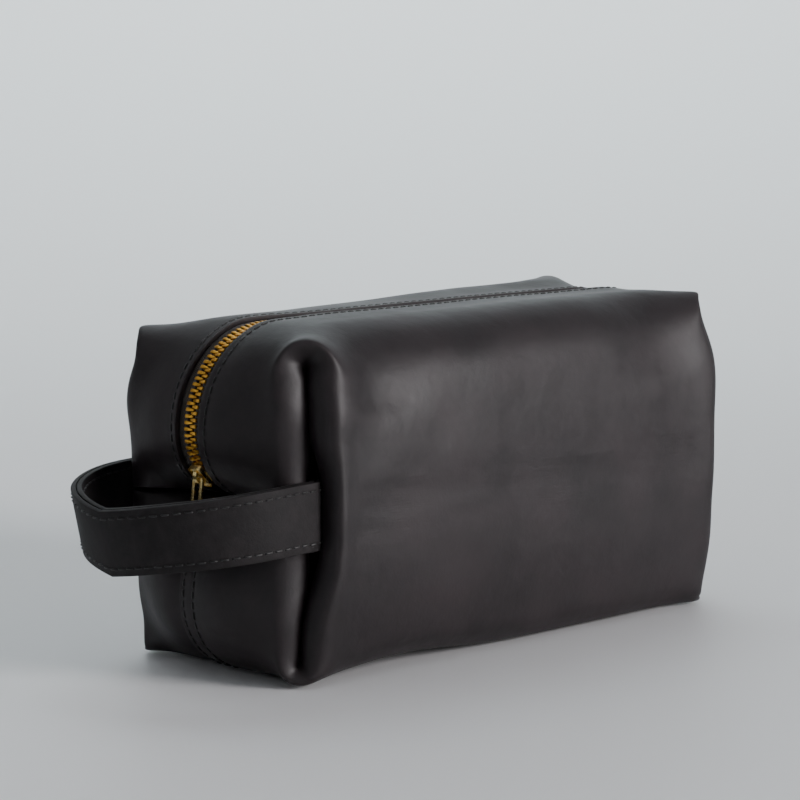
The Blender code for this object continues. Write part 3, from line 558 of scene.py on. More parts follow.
def base_pieces():
    """Line of the leather from the base's centre up an end to the level seam."""
    sizes = zipper()
    tuck = sizes.lower_tuck
    second = (seam_height() - sizes.lower_radius - sizes.seam_turn) / math.sin(tuck)
    return [(body().length / 2 - sizes.lower_setback, 0.0),
            (sizes.lower_radius * math.pi / 2, math.pi / 2), (second * tuck, tuck)]


def run_length(pieces):
    """Length of a line of pieces."""
    return sum(piece[0] for piece in pieces)


def line_radius(pieces, distance):
    """Radius of the round of a line that a distance falls on, or of its nearest round."""
    reached = pieces[0][0] + pieces[1][0]
    run, turn = pieces[1] if distance < reached else pieces[2]
    return run / abs(turn)


def middle_line(upper, distance, depth=0.0):
    """Outward and upward position on the middle line, sunk by a depth, and the heading."""
    if upper:
        point, heading = walk((0, body().height), 0.0, top_pieces(), distance)
        inward = Vector((math.sin(heading), -math.cos(heading)))
    else:
        point, heading = walk((0, 0), 0.0, base_pieces(), distance)
        inward = Vector((-math.sin(heading), math.cos(heading)))
    return point + depth * inward, heading


def column_kinds():
    """Fold lines from the bag's middle out over an end, as (kind, place)."""
    run = [("run", step / RUN_FOLDS) for step in range(RUN_FOLDS)]
    ring = [("ring", step) for step in range(FOLDS + 1)]
    flap = [("flap", step / FLAP_FOLDS) for step in range(1, FLAP_FOLDS + 1)]
    return run + ring + flap + [("turn", 1), ("turn", 2)]


def row_kinds(upper):
    """Fold lines from a bar's free edge to the middle of the face, as (kind, place)."""
    sizes = body()
    if upper:
        tape = zipper().tape_width / 2
        edges = [zipper().opening / 2, tape, tape + 6 * MM]
    else:
        low = sizes.lap + sizes.lap_margin
        edges = [-sizes.lap, sizes.lap / 2, low, low + sizes.lap_step, sizes.depth / 4]
    strip = [("strip", y) for y in edges]
    ring = [("ring", step) for step in range(FOLDS + 1)]
    return strip + ring + [("wall", step / WALL_FOLDS) for step in range(1, WALL_FOLDS + 1)]


def edge_radius(x, upper):
    """Radius of a long edge at a place along the bag."""
    sizes = body()
    if not upper:
        return sizes.base_edge
    return sizes.top_edge - (sizes.top_edge - sizes.top_corner) * abs(2 * x / sizes.length) ** 3


def seam_level(first, last, place, knee):
    """Height of a fold line crossing from one height to another; the knee's line runs just past
    the strap."""
    side = 1 if first > last else -1
    guard = strap_centre() + side * (strap().height / 2 + strap().guard)
    if place <= knee:
        return first + (guard - first) * place / knee
    return guard + (last - guard) * (place - knee) / (1 - knee)


def level(upper, down):
    """Height at a distance from the top or, on the lower half, from the base."""
    return body().height - down if upper else down


def section_point(x, row, upper):
    """A point of the long tube that the face makes with half of the top or of the base."""
    kind, place = row
    radius = edge_radius(x, upper)
    reach = face_reach(x, level(upper, radius))
    if kind == "strip":
        return Vector((x, place, level(upper, 0)))
    if kind == "ring":
        turn = place / FOLDS * math.pi / 2
        dent = body().top_dent * bell(x - body().length / 2 + body().dent_setback, body().dent_width)
        sink = dent * math.sin(turn) if upper else 0.0
        y = reach - radius + radius * math.sin(turn) - 0.4 * sink
        return Vector((x, y, level(upper, radius - radius * math.cos(turn)) - sink))
    z = seam_level(level(upper, radius), seam_height(), place, FACE_KNEE)
    return Vector((x, face_reach(x, z), z))


def end_edge_point(column, y, upper):
    """A point of an end flap on the line where it starts to roll into its upright seam."""
    kind, place = column
    radius = body().top_corner if upper else body().base_edge
    start = level(upper, radius)
    if kind == "ring":
        turn = place / FOLDS * math.pi / 2
        x = end_reach(start) - radius + radius * math.sin(turn)
        return Vector((x, y, level(upper, radius - radius * math.cos(turn))))
    side = 1 if upper else -1
    z = start + (seam_height() + side * zipper().seam_turn - start) * place
    return Vector((end_reach(z), y, z))


def end_point(column, y, inner_y, outer_y, upper, depth):
    """A point of an end flap between its free edge and its roll."""
    kind, place = column
    if kind == "turn":
        lip = end_point(("flap", 1.0), y, inner_y, outer_y, upper, depth)
        inward = zipper().seam_turn * 2 if place == 1 else zipper().turn_in
        side = 1 if upper else -1
        return Vector((lip.x - inward, y, seam_height() + side * (CLEARANCE + depth)))
    pieces = top_pieces() if upper else base_pieces()
    begin = roll_start()
    pitch = zipper().ring_pitch
    distance = begin + place * pitch
    if kind == "flap":
        begin += FOLDS * pitch
        pitch = (run_length(pieces) - begin) / FLAP_FOLDS
        distance = begin + (run_length(pieces) - begin) * place
    swell = pitch ** 2 / (6 * line_radius(pieces, distance))
    # the leather is drawn out so that its smoothed surface falls on the line
    point = middle_line(upper, distance, depth - swell)[0]
    share = min(max((abs(y) - inner_y) / (outer_y - inner_y), 0.0), 1.0) ** 2
    return Vector((point.x, y, point.y)).lerp(end_edge_point(column, y, upper), share)


def roll_point(fold, z, on_face):
    """A point of the roll beside an upright seam, on the face's or the flap's side."""
    held = near_strap(z, 25 * MM)
    along = held * end_reach(strap_centre()) + (1 - held) * end_reach(z)
    across = face_reach(roll_start(), z)
    sizes = body()
    radius = sizes.base_roll + (sizes.roll - sizes.base_roll) * smooth(z / (0.35 * sizes.height))
    gap = slit(z) * DIAGONAL
    fuller = sizes.roll_fill * hump(z / sizes.height) ** FACE_FULLNESS
    if not on_face:
        along, across = across, along
        fuller /= 2
    if fold == 1:
        x, y = along - FOLD_BACK * radius + fuller, across + fuller / 2
    elif fold == 2:
        x, y = along - FOLD_SIDE * radius - gap + fuller / 2, across - FOLD_SIDE * radius + gap
    else:
        inward = SEAM_IN * radius + (sizes.allowance * DIAGONAL if fold == FOLDS else 0.0)
        x, y = along - inward - gap, across - inward + gap
    return Vector((x, y, z)) if on_face else Vector((y, x, z))


def leg_start(fold, upper):
    """Height at which a fold line leaves the ear and runs straight along its seam."""
    radius = body().roll if upper else body().base_roll
    extra = {1: 0.0, 2: 0.5, 3: 0.6, 4: 0.6}[fold]
    return level(upper, (FOLD_SIDE + extra) * radius)


def ear_point(fold, step, on_face, upper):
    """A point of the ear that arches over the end of an upright seam."""
    sizes = body()
    radius = sizes.roll if upper else sizes.base_roll
    heart_z = level(upper, FOLD_SIDE * radius)
    heart = Vector((end_reach(heart_z) - SEAM_IN * radius,
                    face_reach(roll_start(), heart_z) - SEAM_IN * radius, heart_z))
    outward = Vector((DIAGONAL, DIAGONAL, 0))
    sideways = Vector((-DIAGONAL, DIAGONAL, 0)) if on_face else Vector((DIAGONAL, -DIAGONAL, 0))
    up = Vector((0, 0, 1 if upper else -1))
    spread = 0.0 if upper else sizes.base_spread
    if fold == 1 or (fold == 2 and step < 2):
        turn = step / 3 * math.pi / 2 if fold == 1 else step * math.radians(75)
        arm = (FOLD_SIDE if fold == 1 else 0.35) * radius
        out = (1.18 if fold == 1 else 0.668) * radius + spread
        return heart + out * outward + arm * math.sin(turn) * sideways + arm * math.cos(turn) * up
    if fold == 3 and step == 0:
        return heart
    if fold == FOLDS:
        return heart - sizes.allowance * outward - 0.6 * radius * up
    return roll_point(fold, leg_start(fold, upper), on_face)


def cage_point(column, row, upper, depth=0.0):
    """Where one crossing of the leather's fold lines lies, in the +X +Y quarter."""
    begin = roll_start()
    column_kind, column_place = column
    row_kind, row_place = row
    if column_kind == "run" or column == ("ring", 0):
        x = begin * column_place if column_kind == "run" else begin
        point = section_point(x, row, upper)
        point.z += -depth if upper else depth
        return point
    if row_kind == "strip" or row == ("ring", 0):
        radius = body().top_corner if upper else body().base_edge
        outer = face_reach(begin, level(upper, radius)) - radius
        lap = body().lap + body().lap_margin + body().lap_step
        inner = zipper().opening / 2 if upper else lap
        return end_point(column, row_place if row_kind == "strip" else outer, inner, outer, upper, depth)
    if column_kind == "ring" and row_kind == "ring":
        fold = min(column_place, row_place)
        return ear_point(fold, abs(column_place - row_place), row_place > column_place, upper)
    on_face = column_kind == "ring"
    fold = column_place if on_face else row_place
    place = row_place if on_face else column_place
    last = seam_height()
    if not on_face:
        last += CLEARANCE if upper else -CLEARANCE
    knee = FACE_KNEE if on_face else FLAP_KNEE
    return roll_point(fold, seam_level(leg_start(fold, upper), last, place, knee), on_face)


def in_pattern(column, row):
    """True where the I-shaped leather exists."""
    if column[0] in ("flap", "turn") and row[0] == "wall":
        return False
    return not (column[0] == "turn" and row[0] == "ring" and row[1] > 0)


# ================================================================ working by hand
def start_fresh():
    """Leave edit mode and deselect everything, so that an operator acts on new work only."""
    if bpy.context.object and bpy.context.object.mode != "OBJECT":
        bpy.ops.object.mode_set(mode="OBJECT")
    bpy.ops.object.select_all(action="DESELECT")


def activate(piece):
    """Make one piece selected and active."""
    start_fresh()
    piece.select_set(True)
    bpy.context.view_layer.objects.active = piece


def apply_all(piece):
    """Apply every modifier of a piece in order."""
    activate(piece)
    for modifier in list(piece.modifiers):
        bpy.ops.object.modifier_apply(modifier=modifier.name)


def settle_place(piece):
    """Put a piece's place into its mesh, so that its object sits at the origin."""
    activate(piece)
    bpy.ops.object.transform_apply(location=True, rotation=True, scale=True)


def pick_faces(piece, wanted):
    """Select the faces that a test on their centre and normal picks, and enter edit mode."""
    activate(piece)
    bpy.ops.object.mode_set(mode="EDIT")
    bpy.ops.mesh.select_mode(type="FACE")
    mesh = bmesh.from_edit_mesh(piece.data)
    for face in mesh.faces:
        face.select_set(bool(wanted(face.calc_center_median(), face.normal)))
    mesh.select_flush(True)
    bmesh.update_edit_mesh(piece.data)


def pick_edges(piece, wanted):
    """Select the edges whose two ends a test picks, and enter edit mode."""
    activate(piece)
    bpy.ops.object.mode_set(mode="EDIT")
    bpy.ops.mesh.select_mode(type="EDGE")
    mesh = bmesh.from_edit_mesh(piece.data)
    for edge in mesh.edges:
        edge.select_set(bool(wanted(edge.verts[0].co, edge.verts[1].co)))
    mesh.select_flush(True)
    bmesh.update_edit_mesh(piece.data)


def cube(name, size, centre=(0, 0, 0)):
    """A block of a size, as a start for a piece."""
    start_fresh()
    bpy.ops.mesh.primitive_cube_add(size=1, location=centre)
    made = bpy.context.object
    made.name = name
    made.scale = size
    settle_place(made)
    return made


def dress(piece, names, angle=40.0):
    """Give a piece its finishes and smooth shading up to an angle."""
    piece.data.materials.clear()
    for name in names:
        piece.data.materials.append(material(name))
    activate(piece)
    bpy.ops.object.shade_smooth_by_angle(angle=math.radians(angle))
    start_fresh()


def from_sheet(name, sheet):
    """An object from a bmesh."""
    mesh = bpy.data.meshes.new(name)
    sheet.to_mesh(mesh)
    sheet.free()
    made = bpy.data.objects.new(name, mesh)
    bpy.context.scene.collection.objects.link(made)
    return made


def copies(name, unit, frames, finishes, angle=40.0):
    """One piece from copies of a unit's mesh, one at each frame; the unit is removed."""
    sheet = bmesh.new()
    for place in frames:
        before = len(sheet.verts)
        sheet.from_mesh(unit.data)
        sheet.verts.ensure_lookup_table()
        bmesh.ops.transform(sheet, matrix=place, verts=sheet.verts[before:])
    made = from_sheet(name, sheet)
    bpy.data.objects.remove(unit, do_unlink=True)
    dress(made, finishes, angle)
    return made


# ================================================================ leather sides
def face_relief(place, normal, side):
    """How far the hide stands proud of its smooth shape at a point, in metres."""
    x, y, z = place
    sizes = fill()
    lift = sizes.waves * noise.noise(place / 0.052 + Vector((3.1, 7.7 * side, 1.3)))
    lift += sizes.dimples * noise.noise(place / 0.019 + Vector((9.2, 1.1 * side, 4.4)))
    on_face = smooth((abs(y) - 0.040) / 0.006) * (1 - smooth((abs(x) - 0.090) / 0.012))
    # the face flexes along its mid-height and once upright, a little off its middle
    lift -= sizes.flex * on_face * bell(z - seam_height() + 0.0015 * math.sin(x / 0.031), 0.010)
    lift -= sizes.upright_flex * on_face * bell(x - 0.006 * side, 0.014) * hump(z / body().height)
    wrinkle = noise.noise(Vector((x / 0.034, side * 2.0, (z + 0.08 * x) / 0.0052)))
    lift += sizes.wrinkles * on_face * wrinkle * bell(z - seam_height(), 0.014)
    # rows of stitches pull the leather down
    row = abs(y) - zipper().opening / 2 - stitch().inset
    if z > seam_height():
        lift -= sizes.zip_pull_in * bell(row, 0.0011)
        lift += sizes.zip_ridge * bell(row + 0.0017, 0.0012)
    elif side < 0:
        seam = bell(abs(y) - stitch().bottom_row, 0.0011) * bell(max(y - 0.01, 0.0), 0.01)
        lift -= sizes.base_pull_in * seam
    return lift


def press(place):
    """How far what is packed inside pushes a point of the leather sideways, in metres."""
    x, y, z = place
    middle = hump((z - 0.004) / (body().height - 0.004)) ** 0.5
    back = smooth((y - 0.010) / 0.026) * smooth((-x - 0.080) / 0.030) * smooth((z - 0.012) / 0.060)
    far = smooth((-y - 0.012) / 0.024) * smooth((x - 0.080) / 0.030)
    far *= 0.55 * middle + 0.45 * smooth((z - 0.010) / 0.050)
    near = smooth((-y - 0.015) / 0.018) * smooth((-x - 0.080) / 0.020) * smooth((z - 0.088) / 0.018)
    sizes = fill()
    return Vector((sizes.near_move * near + sizes.far_out * far - sizes.back_in * back,
                   sizes.back_across * back - sizes.far_across * far - sizes.near_move * near, 0))


def sag(place):
    """How far the filled bag's leather sags or swells up or down at a point, in metres."""
    x, y, z = place
    aside = smooth((abs(y) - 0.013) / 0.022)
    top = smooth((z - 0.085) / 0.035) * aside
    sizes = fill()
    if y < 0:
        tilt = sizes.crown * bell(x - 0.06, 0.07) - sizes.corner_dip * bell(x + 0.118, 0.040)
    else:
        tilt = sizes.end_rise * smooth((x + 0.110) / 0.20) - sizes.end_sunk
    lift = top * tilt
    lip = smooth((z - 0.110) / 0.015) * bell(abs(y) - 0.009, 0.009) * smooth((x + 0.090) / 0.03)
    if y >= 0:
        return lift - sizes.back_lip * lip
    # the front's bottom edge is drawn up between the handle's corner and the middle
    drawn = bell(x + 0.058, 0.036) * smooth((-y - 0.018) / 0.016) * (1 - smooth(z / 0.034))
    return lift + sizes.lifted * drawn + sizes.front_lip * lip


def leather_side(name, side):
    """One long side of the bag, bent from its I-shaped pattern, in its full thickness."""
    sizes = body()
    kinds = column_kinds()
    columns = [(-1, kind) for kind in reversed(kinds[1:])] + [(1, kind) for kind in kinds]
    lower = [(False, kind) for kind in row_kinds(False)]
    upper = [(True, kind) for kind in row_kinds(True)]
    rows = lower + list(reversed(upper))[1:]
    sheet = bmesh.new()
    bmesh.ops.create_grid(sheet, x_segments=len(columns) - 1, y_segments=len(rows) - 1, size=1)
    outside = []
    for vertex in sheet.verts:
        direction, column = columns[round((vertex.co.x + 1) / 2 * (len(columns) - 1))]
        is_upper, row = rows[round((vertex.co.y + 1) / 2 * (len(rows) - 1))]
        if not in_pattern(column, row):
            outside.append(vertex)
            continue
        low = sizes.lap + sizes.lap_margin + sizes.lap_step / 2
        lapped = side > 0 and not is_upper and row[0] == "strip" and row[1] < low
        point = cage_point(column, row, is_upper, sizes.leather + 0.45 * MM if lapped else 0.0)
        vertex.co = (direction * point.x, side * point.y, point.z)
    bmesh.ops.delete(sheet, geom=outside, context="VERTS")
    if side > 0:
        bmesh.ops.reverse_faces(sheet, faces=sheet.faces)
    made = from_sheet(name, sheet)
    fine = made.modifiers.new("fine", "SUBSURF")
    fine.levels = 3
    fine.render_levels = 3
    apply_all(made)

    mesh = made.data
    normals = [vertex.normal.copy() for vertex in mesh.vertices]
    for vertex, normal in zip(mesh.vertices, normals):
        base = smooth(vertex.co.z / 0.004)
        lift = face_relief(vertex.co, normal, side)
        vertex.co += press(vertex.co) + Vector((0, 0, sag(vertex.co)))
        vertex.co += normal * (lift if base > 0.99 else min(lift * base, 0.0))
    wall = made.modifiers.new("wall", "SOLIDIFY")
    wall.thickness = sizes.leather
    wall.offset = -1
    eased = made.modifiers.new("eased", "BEVEL")
    eased.width = 0.35 * MM
    eased.segments = 2
    eased.limit_method = "ANGLE"
    eased.angle_limit = math.radians(60)
    apply_all(made)
    dress(made, ("leather",), 50.0)
    return made


class KIT_OT_leather(bpy.types.Operator):
    """Make the two leather sides of the bag"""
    bl_idname = "kit.leather"
    bl_label = "Leather sides"
    bl_options = {"REGISTER", "UNDO"}

    def execute(self, context):
        for name, side in SIDES:
            made = leather_side(f"{name}_leather", side)
            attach(made, "bag")
            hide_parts(f"{name}_panel")
        return {"FINISHED"}


# ================================================================ zip
def frame_of(along, sideways, outward, place):
    """A frame from its three directions and its place."""
    made = Matrix((along, sideways, outward)).transposed().to_4x4()
    made.translation = place
    return made


def track_frame(distance, depth, across=0.0, direction=-1):
    """Frame on the zip's line: X along it away from the middle, Y across it, Z out of the bag."""
    point, heading = middle_line(True, distance, depth)
    along = Vector((direction * math.cos(heading), 0, math.sin(heading)))
    outward = Vector((-direction * math.sin(heading), 0, math.cos(heading)))
    return frame_of(along, outward.cross(along), outward, Vector((direction * point.x, across, point.y)))


def line_frame(distance, depth, across=0.0, upper=True):
    """Frame on the zip's line, or on the base's, at a signed distance from its middle: X toward
    +X, Y across and Z out of the bag."""
    point, heading = middle_line(upper, abs(distance), depth)
    flip = 1 if distance >= 0 else -1
    rise = 1 if upper else -1
    along = Vector((math.cos(heading), 0, flip * math.sin(heading)))
    outward = rise * Vector((-flip * math.sin(heading), 0, math.cos(heading)))
    return frame_of(along, outward.cross(along), outward, Vector((flip * point.x, across, point.y)))


def slider_distance():
    """Distance of the slider from the middle of the top, along the zip."""
    return run_length(top_pieces()) - zipper().slider_above_seam


def tape_depth():
    """Depth of the middle of a tape below the leather's face."""
    return body().leather + CLEARANCE + zipper().tape / 2


def make_tape(name, side):
    """A tape with its rolled bead, swept along the zip's line, with a UV map in metres."""
    sizes = zipper()
    # across the tape: (distance from the middle, height above the tape's middle)
    half = sizes.tape / 2
    bead = 0.75 * MM
    bead_y = 2.45 * MM
    profile = [(sizes.tape_width / 2, -half), (sizes.tape_width / 2, half), (0.011, half), (0.0068, half),
               (0.0048, half)]
    for step in range(7):
        turn = math.radians(50 + step * 260 / 6)
        profile.append((bead_y + bead * math.cos(turn), bead * math.sin(turn)))
    profile += [(0.0048, -half), (0.0068, -half), (0.011, -half)]
    # the outer part of the tape lies a little lower, under the leather
    profile = [(y, z - 0.6 * MM * smooth((y - 0.008) / 0.008)) for y, z in profile]
    total = run_length(top_pieces()) - 0.0045
    count = 220
    sheet = bmesh.new()
    weave = sheet.loops.layers.uv.new("weave")
    rings = []
    for step in range(count + 1):
        distance = -total + 2 * total * step / count
        place = line_frame(distance, tape_depth())
        rings.append([sheet.verts.new(place @ Vector((0, side * y, z))) for y, z in profile])
    lengths = [y for y, z in profile]
    for step in range(count):
        for at in range(len(profile)):
            after = (at + 1) % len(profile)
            corners = [(step, at), (step + 1, at), (step + 1, after), (step, after)]
            face = sheet.faces.new([rings[ring][point] for ring, point in corners])
            for loop, (ring, point) in zip(face.loops, corners):
                loop[weave].uv = (lengths[point], 2 * total * ring / count)
    sheet.faces.new(rings[0])
    sheet.faces.new(list(reversed(rings[-1])))
    bmesh.ops.recalc_face_normals(sheet, faces=sheet.faces)
    made = from_sheet(name, sheet)
    dress(made, ("tape",), 60.0)
    return made


class KIT_OT_tapes(bpy.types.Operator):
    """Make the two woven tapes with their beads"""
    bl_idname = "kit.tapes"
    bl_label = "Zip tapes"
    bl_options = {"REGISTER", "UNDO"}

    def execute(self, context):
        for name, side in SIDES:
            made = make_tape(f"{name}_zip_tape", side)
            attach(made, "bag")
            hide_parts(f"zip_tape_{name}")
        return {"FINISHED"}


def tooth_unit():
    """One struck brass tooth: jaws clamped on the bead, a waist and a rounded head."""
    jaw = cube("tooth", (1.3 * MM, 1.7 * MM, zipper().chain_height), (0, 2.3 * MM, 0))
    pick_faces(jaw, lambda centre, normal: normal.y < -0.9)
    bpy.ops.mesh.extrude_region_move(TRANSFORM_OT_translate={"value": (0, -0.5 * MM, 0)})
    bpy.ops.transform.resize(value=(0.78, 1, 0.74), center_override=(0, 0.95 * MM, 0))
    bpy.ops.mesh.extrude_region_move(TRANSFORM_OT_translate={"value": (0, -0.7 * MM, 0)})
    bpy.ops.transform.resize(value=(1.05, 1, 1.0), center_override=(0, 0.25 * MM, 0))
    bpy.ops.mesh.extrude_region_move(TRANSFORM_OT_translate={"value": (0, -0.95 * MM, 0)})
    bpy.ops.transform.resize(value=(0.62, 1, 0.7), center_override=(0, -0.7 * MM, 0))
    bpy.ops.mesh.select_all(action="SELECT")
    bpy.ops.mesh.bevel(offset=0.16 * MM, segments=2, profile=0.5)
    bpy.ops.object.mode_set(mode="OBJECT")
    return jaw


class KIT_OT_teeth(bpy.types.Operator):
    """Make the two rows of brass teeth"""
    bl_idname = "kit.teeth"
    bl_label = "Teeth"
    bl_options = {"REGISTER", "UNDO"}

    def execute(self, context):
        sizes = zipper()
        near = slider_distance() + sizes.slider_length / 2 - 4.0 * MM
        far = run_length(top_pieces()) - sizes.slider_above_seam - 4.6 * MM
        for name, side in SIDES:
            start = 0.0 if side > 0 else sizes.pitch / 2
            count = int((near + far - start) / sizes.pitch)
            frames = []
            for step in range(count):
                distance = -near + start + step * sizes.pitch
                turn = Matrix.Identity(4) if side > 0 else Matrix.Rotation(math.pi, 4, "Z")
                wobble = Matrix.Rotation(0.035 * math.sin(step * 2.7 + side), 4, "Z")
                frames.append(line_frame(distance, tape_depth()) @ turn @ wobble)
            made = copies(f"{name}_teeth", tooth_unit(), frames, ("teeth",))
            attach(made, "bag")
            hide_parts(f"zip_teeth_{name}")
        return {"FINISHED"}


def join_to(piece, others):
    """Make other solids part of a piece."""
    activate(piece)
    for other in others:
        other.select_set(True)
    bpy.ops.object.join()


def slider_gap():
    """Height from the middle of the teeth to a plate of the slider."""
    return zipper().chain_height / 2 + 0.6 * MM


def slider_plate(name, height, centre_z):
    """A plate of the slider, wide at its mouth and narrow where the closed chain leaves."""
    sizes = zipper()
    plate = cube(name, (sizes.slider_length, sizes.slider_width, height), (0, 0, centre_z))
    pick_faces(plate, lambda centre, normal: normal.x < -0.9)
    bpy.ops.transform.resize(value=(1, 0.80, 1), center_override=(-sizes.slider_length / 2, 0, centre_z))
    pick_edges(plate, lambda a, b: abs(a.x - b.x) < 1e-6 and abs(a.y - b.y) < 1e-6)
    bpy.ops.mesh.bevel(offset=1.5 * MM, segments=6, profile=0.5)
    pick_faces(plate, lambda centre, normal: abs(normal.z) > 0.9)
    bpy.ops.mesh.region_to_loop()
    bpy.ops.mesh.bevel(offset=0.22 * MM, segments=2)
    bpy.ops.object.mode_set(mode="OBJECT")
    return plate


class KIT_OT_slider(bpy.types.Operator):
    """Make the cast slider with its bridge"""
    bl_idname = "kit.slider"
    bl_label = "Slider"
    bl_options = {"REGISTER", "UNDO"}

    def execute(self, context):
        sizes = zipper()
        gap = slider_gap()
        plate = SLIDER_PLATE
        top = slider_plate("zip_slider_body", plate, gap + plate / 2)
        parts = [slider_plate("under_plate", plate, -gap - plate / 2)]
        for across in (-1, 1):
            for way in (-1, 1):
                lip = cube("lip", (sizes.slider_length * 0.62, 0.7 * MM, 0.55 * MM),
                           (0.9 * MM, across * (sizes.slider_width / 2 - 0.45 * MM), way * (gap - 0.2 * MM)))
                pick_faces(lip, lambda centre, normal: abs(normal.x) > 0.9)
                bpy.ops.transform.resize(value=(1, 1, 0.6), center_override=(0, 0, way * gap))
                bpy.ops.object.mode_set(mode="OBJECT")
                parts.append(lip)
        neck = cube("neck", (2.2 * MM, 1.3 * MM, 2 * gap + plate),
                    (sizes.slider_length / 2 - 1.3 * MM, 0, 0))
        parts.append(neck)
        # the bridge is a flat bar spun over half a turn, and then drawn out along the slider
        start_fresh()
        bpy.ops.mesh.primitive_plane_add(size=1, location=(-2.35 * MM, 0, 0))
        bridge = bpy.context.object
        bridge.scale = (0.9 * MM, 1.9 * MM, 1)
        settle_place(bridge)
        bpy.ops.object.mode_set(mode="EDIT")
        bpy.ops.mesh.select_all(action="SELECT")
        bpy.ops.mesh.spin(steps=14, angle=math.pi, center=(0, 0, 0), axis=(0, 1, 0))
        bpy.ops.mesh.select_all(action="SELECT")
        bpy.ops.mesh.normals_make_consistent(inside=False)
        bpy.ops.mesh.bevel(offset=0.2 * MM, segments=2)
        bpy.ops.object.mode_set(mode="OBJECT")
        highest = max(vertex.co.z for vertex in bridge.data.vertices)
        lift = -1 if highest < 0.001 else 1
        for vertex in bridge.data.vertices:
            vertex.co.x *= 1.15
            vertex.co.z = gap + plate * 0.7 + lift * vertex.co.z * 1.12
        fill = bridge.modifiers.new("closed", "REMESH")
        fill.mode = "VOXEL"
        fill.voxel_size = 0.11 * MM
        parts.append(bridge)
        apply_all(bridge)
        join_to(top, parts)
        top.data.transform(track_frame(slider_distance(), tape_depth()))
        dress(top, ("slider",), 35.0)
        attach(top, "slider")
        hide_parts("zip_slider")
        return {"FINISHED"}


def pull_pivot():
    """Middle of the pull's top bar, under the slider's bridge."""
    rise = slider_gap() + SLIDER_PLATE + 0.95 * MM
    return track_frame(slider_distance(), tape_depth()) @ Vector((0, 0, rise))


def outline(curve, corners, radius):
    """Add a closed outline through corners in millimetres, each rounded, to a flat curve."""
    points = []
    corners = [MM * Vector(corner) for corner in corners]
    for at, corner in enumerate(corners):
        before = (corners[at - 1] - corner).normalized()
        after = (corners[(at + 1) % len(corners)] - corner).normalized()
        for step in range(5):
            share = step / 4
            bend = (corner + before * radius).lerp(corner, share).lerp(
                corner.lerp(corner + after * radius, share), share)
            points.append(bend)
    spline = curve.splines.new("POLY")
    spline.points.add(len(points) - 1)
    for point, place in zip(spline.points, points):
        point.co = (place.x, place.y, 0, 1)
    spline.use_cyclic_u = True


class KIT_OT_pull(bpy.types.Operator):
    """Make the pull: a bar, two legs and a tab"""
    bl_idname = "kit.pull"
    bl_label = "Pull"
    bl_options = {"REGISTER", "UNDO"}

    def execute(self, context):
        curve = bpy.data.curves.new("pull", "CURVE")
        curve.dimensions = "2D"
        curve.fill_mode = "BOTH"
        curve.extrude = 0.42 * MM
        curve.bevel_depth = 0.2 * MM
        curve.bevel_resolution = 2
        bar = 2.6
        waist = 2.1
        tab = 2.5
        outline(curve, [(-bar, 0.25), (bar, 0.25), (bar, -9), (waist, -12), (tab, -23.3), (-tab, -23.3),
                        (-waist, -12), (-bar, -9)], 0.9 * MM)
        inner = 1.5
        outline(curve, [(-inner, -0.65), (inner, -0.65), (inner, -9.3), (-inner, -9.3)], 0.5 * MM)
        hole = 0.9
        outline(curve, [(-hole, -18.6), (hole, -18.6), (hole, -21.2), (-hole, -21.2)], 0.85 * MM)
        made = bpy.data.objects.new("zip_pull_tab", curve)
        context.scene.collection.objects.link(made)
        activate(made)
        bpy.ops.object.convert(target="MESH")
        made = bpy.context.object
        upright = Matrix(((0, 0, 1, 0), (1, 0, 0, 0), (0, 1, 0, 0), (0, 0, 0, 1)))
        lean = Matrix.Rotation(zipper().pull_lean, 4, "Y")
        made.data.transform(Matrix.Translation(pull_pivot()) @ lean @ upright)
        weld = made.modifiers.new("weld", "WELD")
        weld.merge_threshold = 0.01 * MM
        apply_all(made)
        dress(made, ("slider",), 35.0)
        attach(made, "pull")
        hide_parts("zip_pull")
        return {"FINISHED"}


class KIT_OT_stops(bpy.types.Operator):
    """Make the two top stops and the bottom stop"""
    bl_idname = "kit.stops"
    bl_label = "Stops"
    bl_options = {"REGISTER", "UNDO"}

    def execute(self, context):
        sizes = zipper()
        top = slider_distance() + sizes.slider_length / 2 + 2 * MM
        bottom = run_length(top_pieces()) - sizes.slider_above_seam - 1.4 * MM
        stop = (2.1 * MM, 2.1 * MM, 2.3 * MM)
        plans = [("top_stop_front", stop, track_frame(top, tape_depth(), -2.1 * MM)),
                 ("top_stop_back", stop, track_frame(top, tape_depth(), 2.1 * MM)),
                 ("bottom_stop", (3.9 * MM, 6.2 * MM, 2.3 * MM), track_frame(bottom, tape_depth(), 0.0, 1))]
        for name, size, place in plans:
            made = cube(f"brass_{name}", size)
            pick_faces(made, lambda centre, normal: normal.z > 0.9)
            bpy.ops.mesh.inset(thickness=0.5 * MM, depth=0.15 * MM)
            bpy.ops.mesh.select_all(action="SELECT")
            bpy.ops.mesh.bevel(offset=0.3 * MM, segments=3)
            bpy.ops.object.mode_set(mode="OBJECT")
            made.data.transform(place)
            dress(made, ("teeth",))
            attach(made, "bag")
            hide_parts(f"zip_{name}")
        return {"FINISHED"}


# ================================================================ handle
def seam_heart():
    """The upright seam at the strap's height, in the +X +Y quarter."""
    radius = body().roll
    return Vector((end_reach(strap_centre()) - SEAM_IN * radius,
                   face_reach(roll_start(), strap_centre()) - SEAM_IN * radius))


def strap_pieces():
    """Middle line of the strap in plan, from its sewn-in end to the tip of the loop."""
    sizes = strap()
    begin = seam_heart() + Vector((DIAGONAL, DIAGONAL)) * sizes.lead
    half_width = face_reach(roll_start(), strap_centre()) - sizes.inset
    bend = (half_width - begin.y) / (1 - DIAGONAL)
    return [(body().allowance + sizes.lead, 0.0), (bend * math.pi / 4, -math.pi / 4), (sizes.reach, 0.0),
            (half_width * math.pi / 2, -math.pi / 2)]


